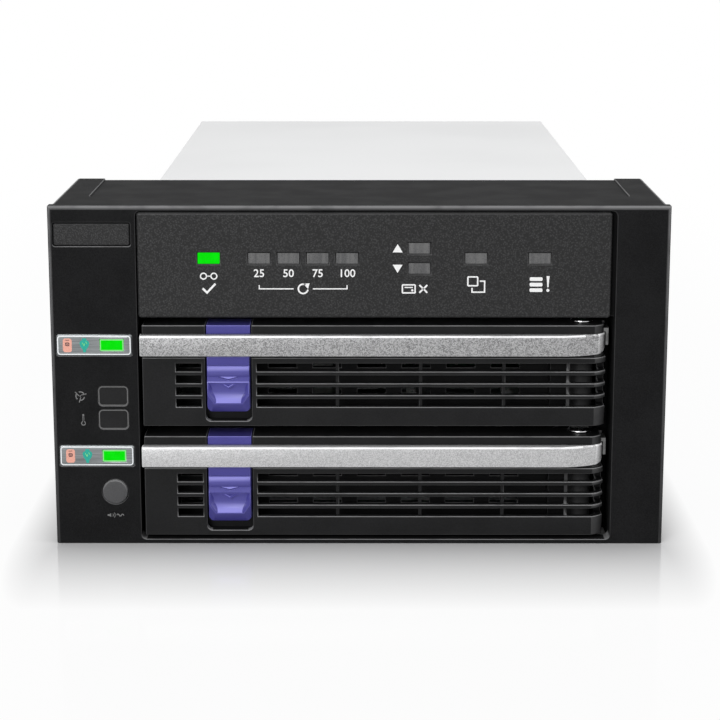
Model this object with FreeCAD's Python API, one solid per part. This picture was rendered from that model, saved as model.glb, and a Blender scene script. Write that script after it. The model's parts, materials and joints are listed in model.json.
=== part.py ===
import FreeCAD, Part
import math
import os
from FreeCAD import Vector

# Hot swap drive cage for two full-height drive bays: a moulded bezel on a sheet
# metal case that holds two drive trays. Millimetres. X runs to the right seen from
# the front, the front faces -Y and Z is up. The origin is the centre of the
# footprint on the surface that the cage stands on.

# ---- overall ----
overall_depth = 196.0        # front of the tray bars to the heads at the back
bezel_width = 149.0
bezel_height = 84.0
bezel_depth = 47.0
rear_proud = 2.0             # fan screw heads behind the back panel

# ---- bezel walls ----
lip_thick = 3.4              # front lip of the bezel
lip_step = 0.5               # how far the lip stands out of the body behind it
lip_round = 0.9
side_wall = 2.0
top_wall = 1.2
column_face = 2.6            # thickness of the two column fronts
column_floor = 2.0
inner_wall = 1.5             # column walls beside the opening
left_column = 21.0
right_column = 12.9
bottom_bar = 1.1
bottom_bar_depth = 4.0
opening_round = 1.2
step_inset = 7.5             # shallow step in the top of the bezel
step_front = 12.5
step_depth = 0.4
step_round = 5.0
mouth_flange = 1.3           # flange in front of the edges of the case
mouth_cover = 0.3            # how far it covers the inside of the case
mouth_gap = 0.1
ledge_depth = 2.0            # ledges behind the display panel
panel_ledge = 1.5

# ---- sheet metal case ----
sheet = 1.0
thin_sheet = 0.8
case_start = 14.0            # front edge of the case, behind the bezel front
case_left_gap = 0.5          # between the opening and the case
case_right_gap = 1.3
cover_gap = 0.15             # under the top wall of the bezel
cover_flange = 11.0
cover_flange_setback = 4.0   # ends of the side flanges of the cover
cover_tab = 7.0              # flange of the cover behind the back panel
cover_tab_inset = 6.0
cover_screw_drop = 4.0       # cover screws below the top of the side walls
cover_screw_offset = 38.0    # from the middle of the case
cover_screw_length = 5.0
flange_gap = 0.1
panel_flange = 8.0           # side flanges of the back panel
panel_flange_drop = 12.0
vent_start = 60.0            # first side vent behind the bezel front
vent_end = 30.0              # last side vent to the back
vent_length = 16.0
vent_height = 5.0
vent_gap = 6.0
vent_above_rail = 3.5
floor_vent_pitch = 16.0
floor_vent_count = 4
floor_vent_width = 3.0

# ---- trays ----
drive_width = 101.6
drive_length = 147.0
drive_height = 26.1
drive_side_gap = 0.2
tray_wall = 2.6
tray_wall_height = 21.0
tray_front_wall = 2.0
tray_side_gap = 0.3          # tray to guide
tray_lift = 0.15             # tray above the guide ledge
tray_pitch = 27.7
tray_count = 2
floor_gap = 0.55             # lowest guide ledge above the case floor
ledge_thick = 1.2
ledge_reach = 2.0
guide_height = 14.0
guide_inset = 2.0            # front end of the guides behind the edge of the case
guide_tail = 2.0             # guides past the back end of a drive
guide_lead = 6.0             # lead-in taper at the front of a guide
guide_lead_depth = 0.8
drive_side_holes = (28.5, 130.1)   # side holes of a drive from its connector end
drive_side_hole_rise = 6.35
drive_bottom_first = 41.28   # bottom holes of a drive from its connector end
drive_bottom_length = 44.45
drive_bottom_width = 95.25
drive_hole = 1.9
drive_sink = 3.4             # sink around a side hole
drive_sink_depth = 1.4
tail_length = 10.0           # slope at the back end of a tray side
tail_height = 9.0
waist_height = 14.0          # lower part of a tray side near its back
waist_length = 26.0
waist_slope = 10.0
shoulder_length = 16.0       # taller part of a tray side behind its front wall
shoulder_slope = 8.0
shoulder_rise = 2.4
finger_slot_count = 3
finger_slot_length = 20.0
finger_slot_pitch = 30.0
finger_slot_height = 3.0
air_hole_columns = 8         # air holes in the front wall of a tray
air_hole_rows = 2
air_hole_width = 7.0
air_hole_height = 2.4
air_hole_pitch = 11.0
air_hole_rise = 5.0
air_hole_row_pitch = 7.0
plate_window_columns = 3     # windows in the steel plate of a tray
plate_window_width = 22.0
plate_window_length = 56.0
plate_window_pitch = 30.0
plate_window_row_pitch = 66.0

# ---- tray doors, which are the levers ----
door_height = 24.9
door_lift = 1.1              # lowest door above the bottom bar
door_side_gap = 1.0          # left end of the door to the opening
door_wall = 1.8
door_flange = 1.2
door_depth = 9.0
door_recess = 0.6            # band behind the bar
door_to_tray = 0.6
tray_below_door = 0.3        # top of the tray front below the top of the door
pin_from_right = 7.2         # hinge pin to the right edge of the opening
pin_behind_front = 6.4
pin_radius = 1.5
pin_head_radius = 2.95
pin_head_height = 0.9
pin_head_bevel = 0.5
pin_foot = 0.2               # lower end of the pin above the bottom of the door
pin_play = 0.05
boss_radius = 2.75
boss_play = 0.15             # boss above the lower flange
boss_top_play = 0.3          # boss below the hook plate
boss_web_left = 0.4          # web of the boss past the sweep of the lever
boss_web_right = 1.0
swing_gap = 0.3              # lever end to the opening wall
lever_end = 5.4              # right end of the door, from the pin
eye_radius = 5.4
relief_gap = 0.3
corner_wall = 1.6            # tray wall around the sweep of the lever end
bar_turn = 60.0              # where the bar meets the swing radius, in degrees

# ---- slots in the doors ----
slot_count = 4
slot_height = 2.0
slat_height = 0.95
top_slot_from_top = 9.3
left_slots_from_left = 8.1
left_slots_width = 6.2
right_slots_from_left = 27.7
rib_width = 0.8
rib_pitch = 20.2
first_rib_from_left = 47.2
rib_setback = 0.9
rib_depth = 1.7
last_rib_gap = 1.0           # last rib to the hinge boss
last_rib_depth = 1.0

# ---- hook plate on each hinge ----
hook_sheet = 1.0
hook_tab_sheet = 0.8
hook_tab_gap = 0.05
hook_reach = 2.5             # half the width of the tab
hook_drop = 4.3
hook_eye = 3.8
hook_tail = 9.0
hook_clearance = 0.1

# ---- bright bar on each door ----
bar_proud = 2.0
bar_height = 5.1
bar_from_top = 2.03
bar_overhang = 0.4
bar_corner = 1.8
bar_edge = 0.48
bar_end_gap = 0.4            # right end of the bar inside the end of the door
band_bottom_gap = 0.75       # recessed band below the bar

# ---- latch slider on each door ----
latch_width = 10.6
latch_from_left = 15.55
latch_side_gap = 0.28
latch_travel = 2.2
latch_bottom = 3.6           # above the bottom of the door
latch_plate = 2.2
latch_gap = 0.2
latch_proud = 1.5
latch_top_depth = 8.6
latch_top_height = 1.9
latch_housing_wall = 1.2
latch_housing_gap = 1.5      # housing below the top block of a lowered latch
channel_bottom = 1.25
channel_round = 1.2
pad_inset = 0.2
pad_to_bar = 0.28
pad_toe = 0.3                # lower end of the pad behind the door face
pad_face = 0.7               # upper part of the pad behind its lip
lip_rise = 2.3               # lip of the pad above its lower end
lip_corner = 1.7             # sloping corners of the lip
lip_corner_rise = 2.5
lip_rim = 0.2
lip_foot = 0.7               # lower end of the sloping corners
dish_length = 5.4
dish_depth = 1.25
dish_side = 0.8              # how far the sides of the dish slope in per millimetre of depth
ridge_start = 8.9
ridge_length = 2.6
ridge_height = 0.5
ridge_foot = 0.15            # valley below the ridge, behind the pad face
groove_width = 0.35
groove_depth = 0.4
mark_reach = 2.2             # half the width of the pointer on the pad
mark_rise = 1.3
mark_stroke = 0.6
mark_height = 0.45           # pointer behind the lip
mark_below_ridge = 1.7
valley_rise = 0.5            # dip in the middle of the valley below the ridge
valley_stroke = 0.35

# ---- display panel ----
panel_side_gap = 0.2
panel_right_gap = 1.1
panel_top_gap = 0.3
panel_height = 25.8
panel_setback = 0.3
panel_thick = 2.2
panel_round = 0.7
panel_corner = 0.8
lens_width = 5.2
lens_height = 2.6
lens_gap = 0.05
lens_setback = 0.1           # lens face behind the panel face
lens_collar = 0.5
lens_collar_depth = 0.6
lens_row = 14.6              # lens centres above the bottom of the panel
first_step_lens = 29.3       # from the left end of the panel
step_lens_pitch = 7.03
step_lens_count = 4
ok_lens_from_left = 17.2
drive_lens_from_left = 67.7
drive_lens_rise = 2.45
spare_lens_from_left = 81.3
spare_lens_pitch = 15.3
panel_post_inset = 8.0       # posts of the display board from the ends of the panel
panel_post_rise = 6.0
panel_post_drop = 4.5

# ---- left column ----
strip_width = 18.3
strip_height = 5.3
strip_thick = 0.8
strip_proud = 0.3
strip_round = 0.6
strip_bevel = 0.3
strip_above_door = 20.2      # strip centre above the bottom of its door
lamp_width = 5.7
lamp_height = 2.9
lamp_from_right = 4.9
lamp_proud = 0.1
lamp_collar = 0.7
collar_thick = 0.8
label_width = 18.0
label_height = 5.1
label_top = 4.3
label_thick = 0.4
label_recess = 0.55
label_gap = 0.35
label_round = 0.4
window_width = 7.2
window_height = 4.85
window_pitch = 5.85
window_count = 2
window_round = 1.2
window_setback = 0.15
window_collar = 0.4
window_top_centre = 37.4
window_from_right = 6.2
button_radius = 3.1
button_gap = 0.12
button_height = 13.3
button_proud = 0.6
button_bevel = 0.3
button_travel = 0.8
button_flange = 4.2
button_flange_play = 0.02
button_stem = 1.6
button_stem_length = 1.0
button_air = 0.1             # pressed button to its switch
button_from_right = 6.25

# ---- screws: head radius, head height, shank radius ----
board_screw = (2.2, 1.4, 1.2)
sheet_screw = (2.7, 1.6, 1.2)
machine_screw = (2.7, 1.6, 1.5)
fan_screw = (2.9, rear_proud, 1.6)
sheet_screw_pilot = 1.25
board_hole = 1.3
machine_hole = 1.6
access_hole = 3.2            # clears the head of a sheet screw
post_radius = 2.2

# ---- electronics ----
board_thick = 1.6
board_corner = 1.5
display_board_gap = 2.4      # panel to display board
display_board_inset = 3.0
status_board_gap = 5.4       # column face to status board
status_board_inset = 0.6
status_board_bottom = 5.0
status_screw_inset = 3.6
status_screw_rise = 3.0      # lower screw above the button
status_screw_clear = 4.0     # upper screw above the upper strip
lamp_air = 0.3               # lens to the lamp behind it
lamp_inset = 0.6             # lamp inside the outline of its lens
window_lamp_inset = 1.4
display_lamp_inset = 0.5
display_lamp_air = 0.2
switch_size = 6.0
switch_plunger = 0.8
switch_plunger_radius = 1.5
status_plug_width = 5.0
status_plug_depth = 6.0
status_plug = (30.0, 42.0)   # lower and upper end
deck_gap = 0.8               # upper drive to the deck plate
deck_inset = 2.0
deck_flange = 6.0
deck_back_flange = 5.0
deck_back_inset = 8.0
deck_slot_count = 5
deck_slot_width = 4.0
deck_slot_pitch = 18.0
deck_slot = (40.0, 100.0)    # front and back end from the front of the deck
standoff = 4.0
standoff_radius = 2.9
standoff_inset = 9.0
standoff_front = 6.0
standoff_back = 16.0
drive_start = 15.6           # front end of a drive, behind the bezel front
socket_gap = 0.3
socket_depth = 5.7
socket_width = 41.0
socket_height = 6.0
socket_rise = 2.0            # above the steel plate of the tray
socket_from_left = 33.39     # socket centre from the left side of the drive
slot_depth = 4.5
slot_thick = 1.6
data_slot = (-18.5, -6.5)    # from the socket centre
power_slot = (-3.5, 18.0)
backplane_bottom = 2.5
backplane_side = 2.0
backplane_rise = 11.0        # above the controller board
backplane_slot_width = 14.0
backplane_slot_height = 8.0
backplane_slot_pitch = 19.0
backplane_slot_count = 5
backplane_slot_rise = 13.5
controller_start = 17.0
controller_side = 4.0
controller_back_gap = 7.0
chip_row = 85.0              # main chip behind the bezel front
chip_height = 1.6
sink_size = 24.0
sink_base = 2.0
sink_height = 8.0
sink_fin = 1.2
sink_fin_count = 7
capacitor_radius = 3.15
capacitor_height = 8.0
capacitor_pitch = 10.0
capacitor_count = 4
capacitor_back = 26.0
buzzer_radius = 6.0
buzzer_height = 8.0
buzzer_hole = 1.2
buzzer_left = 36.0
buzzer_back = 20.0
link_width = 50.0
link_depth = 11.0
link_height = 5.5
header_width = 32.0
header_height = 5.0
header_lap = 4.0             # on the controller board

# ---- ports at the back ----
port_wall = 1.2
port_proud = 1.2
port_gap = 0.3
port_floor = 3.0
port_height = 46.0           # upper face of the port board
port_from_fan = 4.0
port_board_length = 41.0
port_board_gap = 0.5
power_port_size = (23.0, 12.0, 9.4)    # width, depth, height
data_port_size = (12.5, 10.0, 6.4)
power_port_start = 1.0
data_port_start = 27.0
power_pin_count = 4
power_pin_pitch = 5.08
power_pin_radius = 1.05
power_pin_length = 8.0
tongue_thick = 1.2
back_vent_count = 8
back_vent_width = 2.4
back_vent_pitch = 5.0
back_vent = (10.0, 34.0)     # lower and upper end

# ---- fan ----
fan_size = 60.0
fan_depth = 15.0
fan_round = 3.0
fan_rim = 1.4                # duct wall in the middle of a side
fan_hub = 12.0
fan_hub_bevel = 0.8
fan_tip_gap = 0.6
fan_blades = 7
fan_shaft = 1.5
fan_play = 0.05
fan_hole_inset = 5.0         # corner holes from the sides of the fan
fan_hole = 1.75
fan_screw_length = 10.0
fan_mount = 2.0              # thickness of the motor mount and its arms
fan_mount_gap = 0.6          # hub to mount
fan_arm_width = 3.2
fan_arm_count = 3
fan_blade_front = 6.0        # middle of the blades behind the front of the frame
root_chord = 9.0
root_pitch = 46.0
tip_chord = 15.0
tip_pitch = 28.0
blade_camber = 1.3
blade_hollow = 0.3
fan_from_left = 34.0
fan_centre_height = 36.0
guard_first = 9.0            # inner radius of the smallest slot of the finger guard
guard_slot = 4.8
guard_ring = 1.8             # metal left between two slots
guard_spokes = 4
guard_spoke = 2.4

# ---- fixing brackets for the drive bays of a computer case ----
mount_inset = 1.5            # outer face of a bracket to the side of the lip
mount_hole = 1.25            # radius of the M3 tapping hole
mount_first = 47.4           # behind the lip
mount_spacing = 79.25
mount_low = 10.7
mount_rise = 11.84
bay_height = 41.28
bay_count = 2
bracket_sheet = 1.2
bracket_bottom = 4.0
bracket_top = 68.0
bracket_length = 100.0
bracket_gap = 0.4            # bracket behind the bezel
bracket_screw_inset = 26.0   # from each end of a bracket
bracket_access = 3.0
bracket_slots = (28.0, 38.0)
bracket_slot_height = 5.0
bracket_slot_front = 16.0
bracket_slot_back = 36.0
foot_height = 9.0

# ---- screws between the bezel and the case ----
bezel_screw_rise = 10.0      # above the deck plate
bezel_screw_front = 10.0     # front screw behind the edge of the case
bezel_screw_back = 9.0       # back screw from the back of the bezel
pad_front = 4.0              # pads between the bezel and the case
pad_back = 3.0
low_pad = (12.0, 24.0)
pad_half = 5.0               # half the height of the pad around the screws

# ---- worked out from the sizes above ----
front = -overall_depth / 2 + bar_proud
rear = overall_depth / 2 - rear_proud
half_width = bezel_width / 2
body_half = half_width - lip_step
bezel_back = front + bezel_depth
open_left = -half_width + left_column
open_right = half_width - right_column
open_top = bezel_height - top_wall
case_front = front + case_start
case_left = open_left + case_left_gap
case_right = open_right - case_right_gap
case_top = open_top - cover_gap
wall_top = case_top - sheet
case_in_left = case_left + sheet
case_in_right = case_right - sheet
tray_width = drive_width + 2 * (drive_side_gap + tray_wall)
tray_centre = (case_left + case_right) / 2
tray_left = tray_centre - tray_width / 2
tray_right = tray_centre + tray_width / 2
guide_thick = tray_left - tray_side_gap - case_in_left
guide_front = case_front + guide_inset
door_left = open_left + door_side_gap
pin_x = open_right - pin_from_right
pin_y = front + pin_behind_front
door_back = door_depth - pin_behind_front
swing_radius = pin_from_right - swing_gap
relief_radius = swing_radius + relief_gap
tray_front = front + door_depth + door_to_tray
drive_front = front + drive_start
drive_rear = drive_front + drive_length
panel_face = front + panel_setback
panel_left = open_left + panel_side_gap
panel_right = open_right - panel_right_gap
panel_top = open_top - panel_top_gap
panel_bottom = panel_top - panel_height
panel_back = panel_face + panel_thick
display_board_front = panel_back + display_board_gap
display_board_back = display_board_front + board_thick
tray_plate = thin_sheet
lowest_door = bottom_bar + door_lift
door_top = lowest_door + door_height
tray_front_top = door_top - tray_below_door
lowest_ledge = sheet + floor_gap
lowest_tray = lowest_ledge + tray_lift
tray_side_bottom = lowest_tray + tray_plate
band_bottom = door_top - bar_from_top - bar_height - band_bottom_gap
bar_bottom = door_top - bar_from_top - bar_height
hook_top = door_top - door_flange
hook_bottom = hook_top - hook_drop
latch_left = door_left + latch_from_left
latch_right = latch_left + latch_width
channel_left = latch_left - latch_side_gap
channel_right = latch_right + latch_side_gap
latch_front = front + door_recess + latch_gap
channel_back = latch_front + latch_plate + latch_gap
deck_bottom = lowest_tray + (tray_count - 1) * tray_pitch + tray_plate + drive_height + deck_gap
deck_top = deck_bottom + thin_sheet
deck_front = case_front + deck_inset
controller_bottom = deck_top + standoff
controller_top = controller_bottom + board_thick
controller_front = front + controller_start
backplane_front = drive_rear + socket_gap + socket_depth
backplane_back = backplane_front + board_thick
deck_back = backplane_front - thin_sheet
fan_x = case_left + fan_from_left
fan_bore = fan_size / 2 - fan_rim
fan_back = rear - sheet
fan_front = fan_back - fan_depth
port_left = fan_x + fan_size / 2 + port_from_fan
mount_y = front + lip_thick + mount_first
bracket_front = bezel_back + bracket_gap
bezel_screw_height = deck_top + bezel_screw_rise
column_back = front + column_face
column_centre = -half_width + left_column / 2
button_x = open_left - button_from_right
status_board_front = column_back + status_board_gap
status_board_back = status_board_front + board_thick
status_screw_x = -body_half + side_wall + status_screw_inset
highest_strip = lowest_door + (tray_count - 1) * tray_pitch + strip_above_door
status_screw_heights = (
    button_height + status_screw_rise,
    highest_strip + strip_height / 2 + status_screw_clear,
)
ACROSS = Vector(1, 0, 0)
ALONG = Vector(0, 1, 0)
UP = Vector(0, 0, 1)
PAST = 1.0                   # how far a cutter runs past what it cuts
THIN_PAST = 0.1              # the same where another part of the piece lies close behind
TOL = 1e-6


# ---- shape helpers ----
def box(x0, x1, y0, y1, z0, z1):
    """Block between two corners."""
    return Part.makeBox(x1 - x0, y1 - y0, z1 - z0, Vector(x0, y0, z0))


def rod(x, y, z, radius, length, direction=ALONG):
    """Cylinder that starts at a point."""
    return Part.makeCylinder(radius, length, Vector(x, y, z), direction)


def join(shapes):
    """One solid from shapes that touch or overlap."""
    solid = shapes[0]
    if len(shapes) > 1:
        solid = solid.multiFuse(shapes[1:])
    return solid.removeSplitter()


def cut(shape, tools):
    """The shape without the tools."""
    return shape.cut(tools)


def rounded_outline(u0, u1, v0, v1, radius, place):
    """Rectangle with round corners, where place turns (u, v) into a point."""
    edges = []
    ends = []
    for u, v, start in ((u1, v0, -90), (u1, v1, 0), (u0, v1, 90), (u0, v0, 180)):
        cu = u - radius if u == u1 else u + radius
        cv = v - radius if v == v1 else v + radius
        points = []
        for turn in (0, 45, 90):
            angle = math.radians(start + turn)
            points.append(place(cu + radius * math.cos(angle), cv + radius * math.sin(angle)))
        edges.append(Part.Arc(*points).toShape())
        ends.append((points[0], points[2]))
    for i, (first, last) in enumerate(ends):
        following = ends[(i + 1) % len(ends)][0]
        if last.distanceToPoint(following) > TOL:
            edges.append(Part.LineSegment(last, following).toShape())
    return Part.Face(Part.Wire(Part.__sortEdges__(edges)))


def plate_y(x0, x1, z0, z1, radius, y0, y1):
    """Upright plate with round corners, thick along Y."""
    face = rounded_outline(x0, x1, z0, z1, radius, lambda u, v: Vector(u, y0, v))
    return face.extrude(Vector(0, y1 - y0, 0))


def plate_z(x0, x1, y0, y1, radius, z0, z1):
    """Flat plate with round corners, thick along Z."""
    face = rounded_outline(x0, x1, y0, y1, radius, lambda u, v: Vector(u, v, z0))
    return face.extrude(Vector(0, 0, z1 - z0))


def polygon(points):
    """Flat face through the points."""
    return Part.Face(Part.makePolygon(points + [points[0]]))


def regular_prism(x, y, z, radius, sides, length, direction):
    """Prism on a regular polygon whose corners lie on the radius."""
    corners = []
    for index in range(sides):
        angle = 2 * math.pi * index / sides
        corners.append(Vector(radius * math.cos(angle), radius * math.sin(angle), 0))
    prism = polygon(corners).extrude(Vector(0, 0, length))
    prism.Placement = FreeCAD.Placement(Vector(x, y, z), FreeCAD.Rotation(UP, direction))
    return prism


def edges_where(shape, test):
    """Edges whose middle point passes the test."""
    chosen = []
    for edge in shape.Edges:
        middle = edge.valueAt((edge.FirstParameter + edge.LastParameter) / 2)
        if test(middle):
            chosen.append(edge)
    return chosen


def is_at(value, target):
    """Whether two coordinates agree."""
    return abs(value - target) < 1e-3


def pan_screw(x, y, z, direction, size, length):
    """Screw whose head sits on a face; direction points out of the face. Its shank has eight sides."""
    head_radius, head_height, shank_radius = size
    head = rod(x, y, z, head_radius, head_height, direction)
    shank = regular_prism(x, y, z, shank_radius, 8, length, direction * -1)
    return join([head, shank])


def tray_level(index):
    """Height of a tray above the lowest one."""
    return index * tray_pitch


# ---- bezel ----
def centred_box(x, z, width, height, grow):
    """Corners of an upright rectangle about a point: x0, x1, z0, z1."""
    return (
        x - width / 2 - grow,
        x + width / 2 + grow,
        z - height / 2 - grow,
        z + height / 2 + grow,
    )


def strip_box(index, grow=0.0):
    """Corners of the status strip beside a tray: x0, x1, z0, z1."""
    z = lowest_door + tray_level(index) + strip_above_door
    return centred_box(column_centre, z, strip_width, strip_height, grow)


def lamp_box(index, grow=0.0):
    """Corners of the lit window in a status strip: x0, x1, z0, z1."""
    x = column_centre + strip_width / 2 - lamp_from_right
    z = lowest_door + tray_level(index) + strip_above_door
    return centred_box(x, z, lamp_width, lamp_height, grow)


def window_box(index, grow=0.0):
    """Corners of an alarm window: x0, x1, z0, z1. Index 0 is the upper one."""
    x = open_left - window_from_right
    z = window_top_centre - index * window_pitch
    return centred_box(x, z, window_width, window_height, grow)


def label_box(grow=0.0):
    """Corners of the blank label plate: x0, x1, z0, z1."""
    z = bezel_height - label_top - label_height / 2
    return centred_box(column_centre, z, label_width, label_height, grow)


def bezel_blank():
    """Front lip with rounded edges and the body behind it."""
    lip = box(-half_width, half_width, front, front + lip_thick, 0, bezel_height)
    lip = lip.makeFillet(lip_round, edges_where(lip, lambda p: is_at(p.y, front) and p.z > TOL))
    body = box(-body_half, body_half, front + lip_thick, bezel_back, 0, bezel_height)
    top_edges = edges_where(body, lambda p: is_at(p.z, bezel_height) and is_at(abs(p.x), body_half))
    return join([lip, body.makeFillet(lip_round, top_edges)])


def column_hollow(x0, x1):
    """Hollow behind the face of a column."""
    return box(x0, x1, column_back, bezel_back + PAST, column_floor, bezel_height - column_floor)


def bezel_hollows():
    """Tray opening, column hollows and the step in the top."""
    back = bezel_back + PAST
    sill_back = front + bottom_bar_depth
    opening = plate_y(
        open_left, open_right, bottom_bar, open_top, opening_round, front - PAST, back
    )
    inside = box(open_left, open_right, sill_back, back, bottom_bar, open_top)
    under = box(open_left, open_right, sill_back, back, -PAST, bottom_bar + opening_round)
    left = column_hollow(-body_half + side_wall, open_left - inner_wall)
    right = column_hollow(open_right + inner_wall, body_half - side_wall)
    step = plate_z(
        -body_half + step_inset, body_half - step_inset,
        front + step_front, back + step_round,
        step_round, bezel_height - step_depth, bezel_height + PAST,
    )
    return [opening, inside, under, left, right, step]


def column_cutouts():
    """Pockets and holes in the face of the left column."""
    tools = []
    y0 = front - PAST
    through = column_back + PAST
    for index in range(tray_count):
        x0, x1, z0, z1 = strip_box(index, lens_gap)
        tools.append(plate_y(x0, x1, z0, z1, strip_round, y0, front + strip_thick - strip_proud))
        x0, x1, z0, z1 = lamp_box(index, lens_gap)
        tools.append(box(x0, x1, y0, through, z0, z1))
    for index in range(window_count):
        x0, x1, z0, z1 = window_box(index, lens_gap)
        tools.append(plate_y(x0, x1, z0, z1, window_round, y0, through))
    x0, x1, z0, z1 = label_box(label_gap)
    tools.append(plate_y(x0, x1, z0, z1, strip_round, y0, front + label_recess))
    tools.append(rod(button_x, y0, button_height, button_radius + button_gap, through - y0))
    return tools


def status_bosses():
    """Posts that carry the status board inside the left column."""
    posts = []
    for z in status_screw_heights:
        posts.append(rod(status_screw_x, column_back, z, post_radius, status_board_gap))
    return posts


def panel_ledges():
    """Ledges that the display panel rests against."""
    y1 = panel_back + ledge_depth
    left = box(open_left, open_left + panel_ledge, panel_back, y1, panel_bottom, open_top)
    right = box(panel_right - panel_ledge, open_right, panel_back, y1, panel_bottom, open_top)
    return [left, right]


def mouth_flanges():
    """Flange in front of the case that covers its edges at both sides and below."""
    y1 = case_front - mouth_gap
    y0 = y1 - mouth_flange
    left = box(open_left, case_in_left + mouth_cover, y0, y1, 0, open_top)
    right = box(case_in_right - mouth_cover, open_right, y0, y1, 0, open_top)
    sill = box(open_left, open_right, y0, y1, 0, sheet + mouth_cover)
    return [left, right, sill]


def case_pads():
    """Pads that fill the gap between the bezel and the case."""
    pads = []
    y0 = case_front + pad_front
    y1 = bezel_back - pad_back
    for z0, z1 in (low_pad, (bezel_screw_height - pad_half, bezel_screw_height + pad_half)):
        pads.append(box(open_left, case_left, y0, y1, z0, z1))
        pads.append(box(case_right, open_right, y0, y1, z0, z1))
    return pads


def bezel_screw_places():
    """Distances of the bezel screws along Y."""
    return [case_front + bezel_screw_front, bezel_back - bezel_screw_back]


def bezel_frame():
    """Moulded front frame with its two columns."""
    blank = cut(bezel_blank(), bezel_hollows())
    body = join([blank] + mouth_flanges() + panel_ledges() + case_pads() + status_bosses())
    tools = column_cutouts()
    start = open_left - inner_wall - PAST
    length = open_right + inner_wall + PAST - start
    for y in bezel_screw_places():
        tools.append(rod(start, y, bezel_screw_height, sheet_screw_pilot, length, ACROSS))
    return cut(body, tools)


def label_plate():
    """Blank plate let into the top of the left column."""
    x0, x1, z0, z1 = label_box()
    y1 = front + label_recess
    return plate_y(x0, x1, z0, z1, label_round, y1 - label_thick, y1)


def status_strip(index):
    """Bright plate beside a tray, with its window cut out and its rim bevelled."""
    x0, x1, z0, z1 = strip_box(index)
    y0 = front - strip_proud
    y1 = y0 + strip_thick
    plate = plate_y(x0, x1, z0, z1, strip_round, y0, y1)
    plate = plate.makeChamfer(strip_bevel, edges_where(plate, lambda p: is_at(p.y, y0)))
    x0, x1, z0, z1 = lamp_box(index, lens_gap)
    return cut(plate, [box(x0, x1, y0 - PAST, y1 + PAST, z0, z1)])


def status_lens(index):
    """Light guide that fills the window of a status strip."""
    x0, x1, z0, z1 = lamp_box(index)
    guide = box(x0, x1, front - lamp_proud, column_back + collar_thick, z0, z1)
    x0, x1, z0, z1 = lamp_box(index, lamp_collar)
    collar = box(x0, x1, column_back, column_back + collar_thick, z0, z1)
    return join([guide, collar])


def alarm_windows():
    """The two clear windows below the upper status strip."""
    windows = []
    for index in range(window_count):
        x0, x1, z0, z1 = window_box(index)
        face = plate_y(x0, x1, z0, z1, window_round, front + window_setback, column_back)
        x0, x1, z0, z1 = window_box(index, window_collar)
        y1 = column_back + collar_thick
        collar = plate_y(x0, x1, z0, z1, window_round, column_back, y1)
        windows.append(join([face, collar]))
    return Part.makeCompound(windows)


def mute_button():
    """Round push button with a flange behind the column face and a stem."""
    x = button_x
    z = button_height
    y0 = front - button_proud
    flange_y = column_back + button_flange_play
    cap = rod(x, y0, z, button_radius, flange_y - y0)
    cap = cap.makeChamfer(button_bevel, edges_where(cap, lambda p: is_at(p.y, y0)))
    flange = rod(x, flange_y, z, button_flange, collar_thick)
    stem = rod(x, flange_y, z, button_stem, collar_thick + button_stem_length)
    return join([cap, flange, stem])


def status_board():
    """Circuit board behind the left column."""
    x0 = -body_half + side_wall + status_board_inset
    x1 = open_left - inner_wall - status_board_inset
    y0 = status_board_front
    top = status_screw_heights[1] + status_screw_clear
    board = plate_y(x0, x1, status_board_bottom, top, board_corner, y0, status_board_back)
    holes = []
    for z in status_screw_heights:
        holes.append(rod(status_screw_x, y0 - PAST, z, board_hole, board_thick + 2 * PAST))
    return cut(board, holes)


def status_board_parts():
    """Lamps and the push switch on the status board, and its plug."""
    parts = []
    lamp_front = column_back + collar_thick + lamp_air
    for index in range(tray_count):
        x0, x1, z0, z1 = lamp_box(index, -lamp_inset)
        parts.append(box(x0, x1, lamp_front, status_board_front, z0, z1))
    for index in range(window_count):
        x0, x1, z0, z1 = window_box(index, -window_lamp_inset)
        parts.append(box(x0, x1, lamp_front, status_board_front, z0, z1))
    stem_end = column_back + button_flange_play + collar_thick + button_stem_length
    plunger_y = stem_end + button_travel + button_air
    x0, x1, z0, z1 = centred_box(button_x, button_height, switch_size, switch_size, 0)
    switch = box(x0, x1, plunger_y + switch_plunger, status_board_front, z0, z1)
    length = status_board_front - plunger_y
    plunger = rod(button_x, plunger_y, button_height, switch_plunger_radius, length)
    parts.append(join([switch, plunger]))
    plug_left = column_centre - status_plug_width / 2
    plug_right = column_centre + status_plug_width / 2
    plug_back = status_board_back + status_plug_depth
    parts.append(box(plug_left, plug_right, status_board_back, plug_back, *status_plug))
    return Part.makeCompound(parts)


def status_screws():
    """Screws of the status board."""
    screws = []
    for z in status_screw_heights:
        screws.append(pan_screw(status_screw_x, status_board_back, z, ALONG, board_screw, board_thick))
    return Part.makeCompound(screws)


# ---- display panel ----
def lens_places():
    """Centre of each dark lens on the display panel: x, z."""
    z = panel_bottom + lens_row
    places = []
    for index in range(step_lens_count):
        places.append((panel_left + first_step_lens + index * step_lens_pitch, z))
    for side in (1, -1):
        places.append((panel_left + drive_lens_from_left, z + side * drive_lens_rise))
    for index in range(2):
        places.append((panel_left + spare_lens_from_left + index * spare_lens_pitch, z))
    return places


def ok_place():
    """Centre of the lit lens: x, z."""
    return panel_left + ok_lens_from_left, panel_bottom + lens_row


def panel_post_places():
    """Posts between the display panel and its board: x, z."""
    places = []
    for x in (panel_left + panel_post_inset, panel_right - panel_post_inset):
        for z in (panel_bottom + panel_post_rise, panel_top - panel_post_drop):
            places.append((x, z))
    return places


def lens_block(x, z, grow, y0, y1):
    """Block the size of a lens."""
    x0, x1, z0, z1 = centred_box(x, z, lens_width, lens_height, grow)
    return box(x0, x1, y0, y1, z0, z1)


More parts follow.
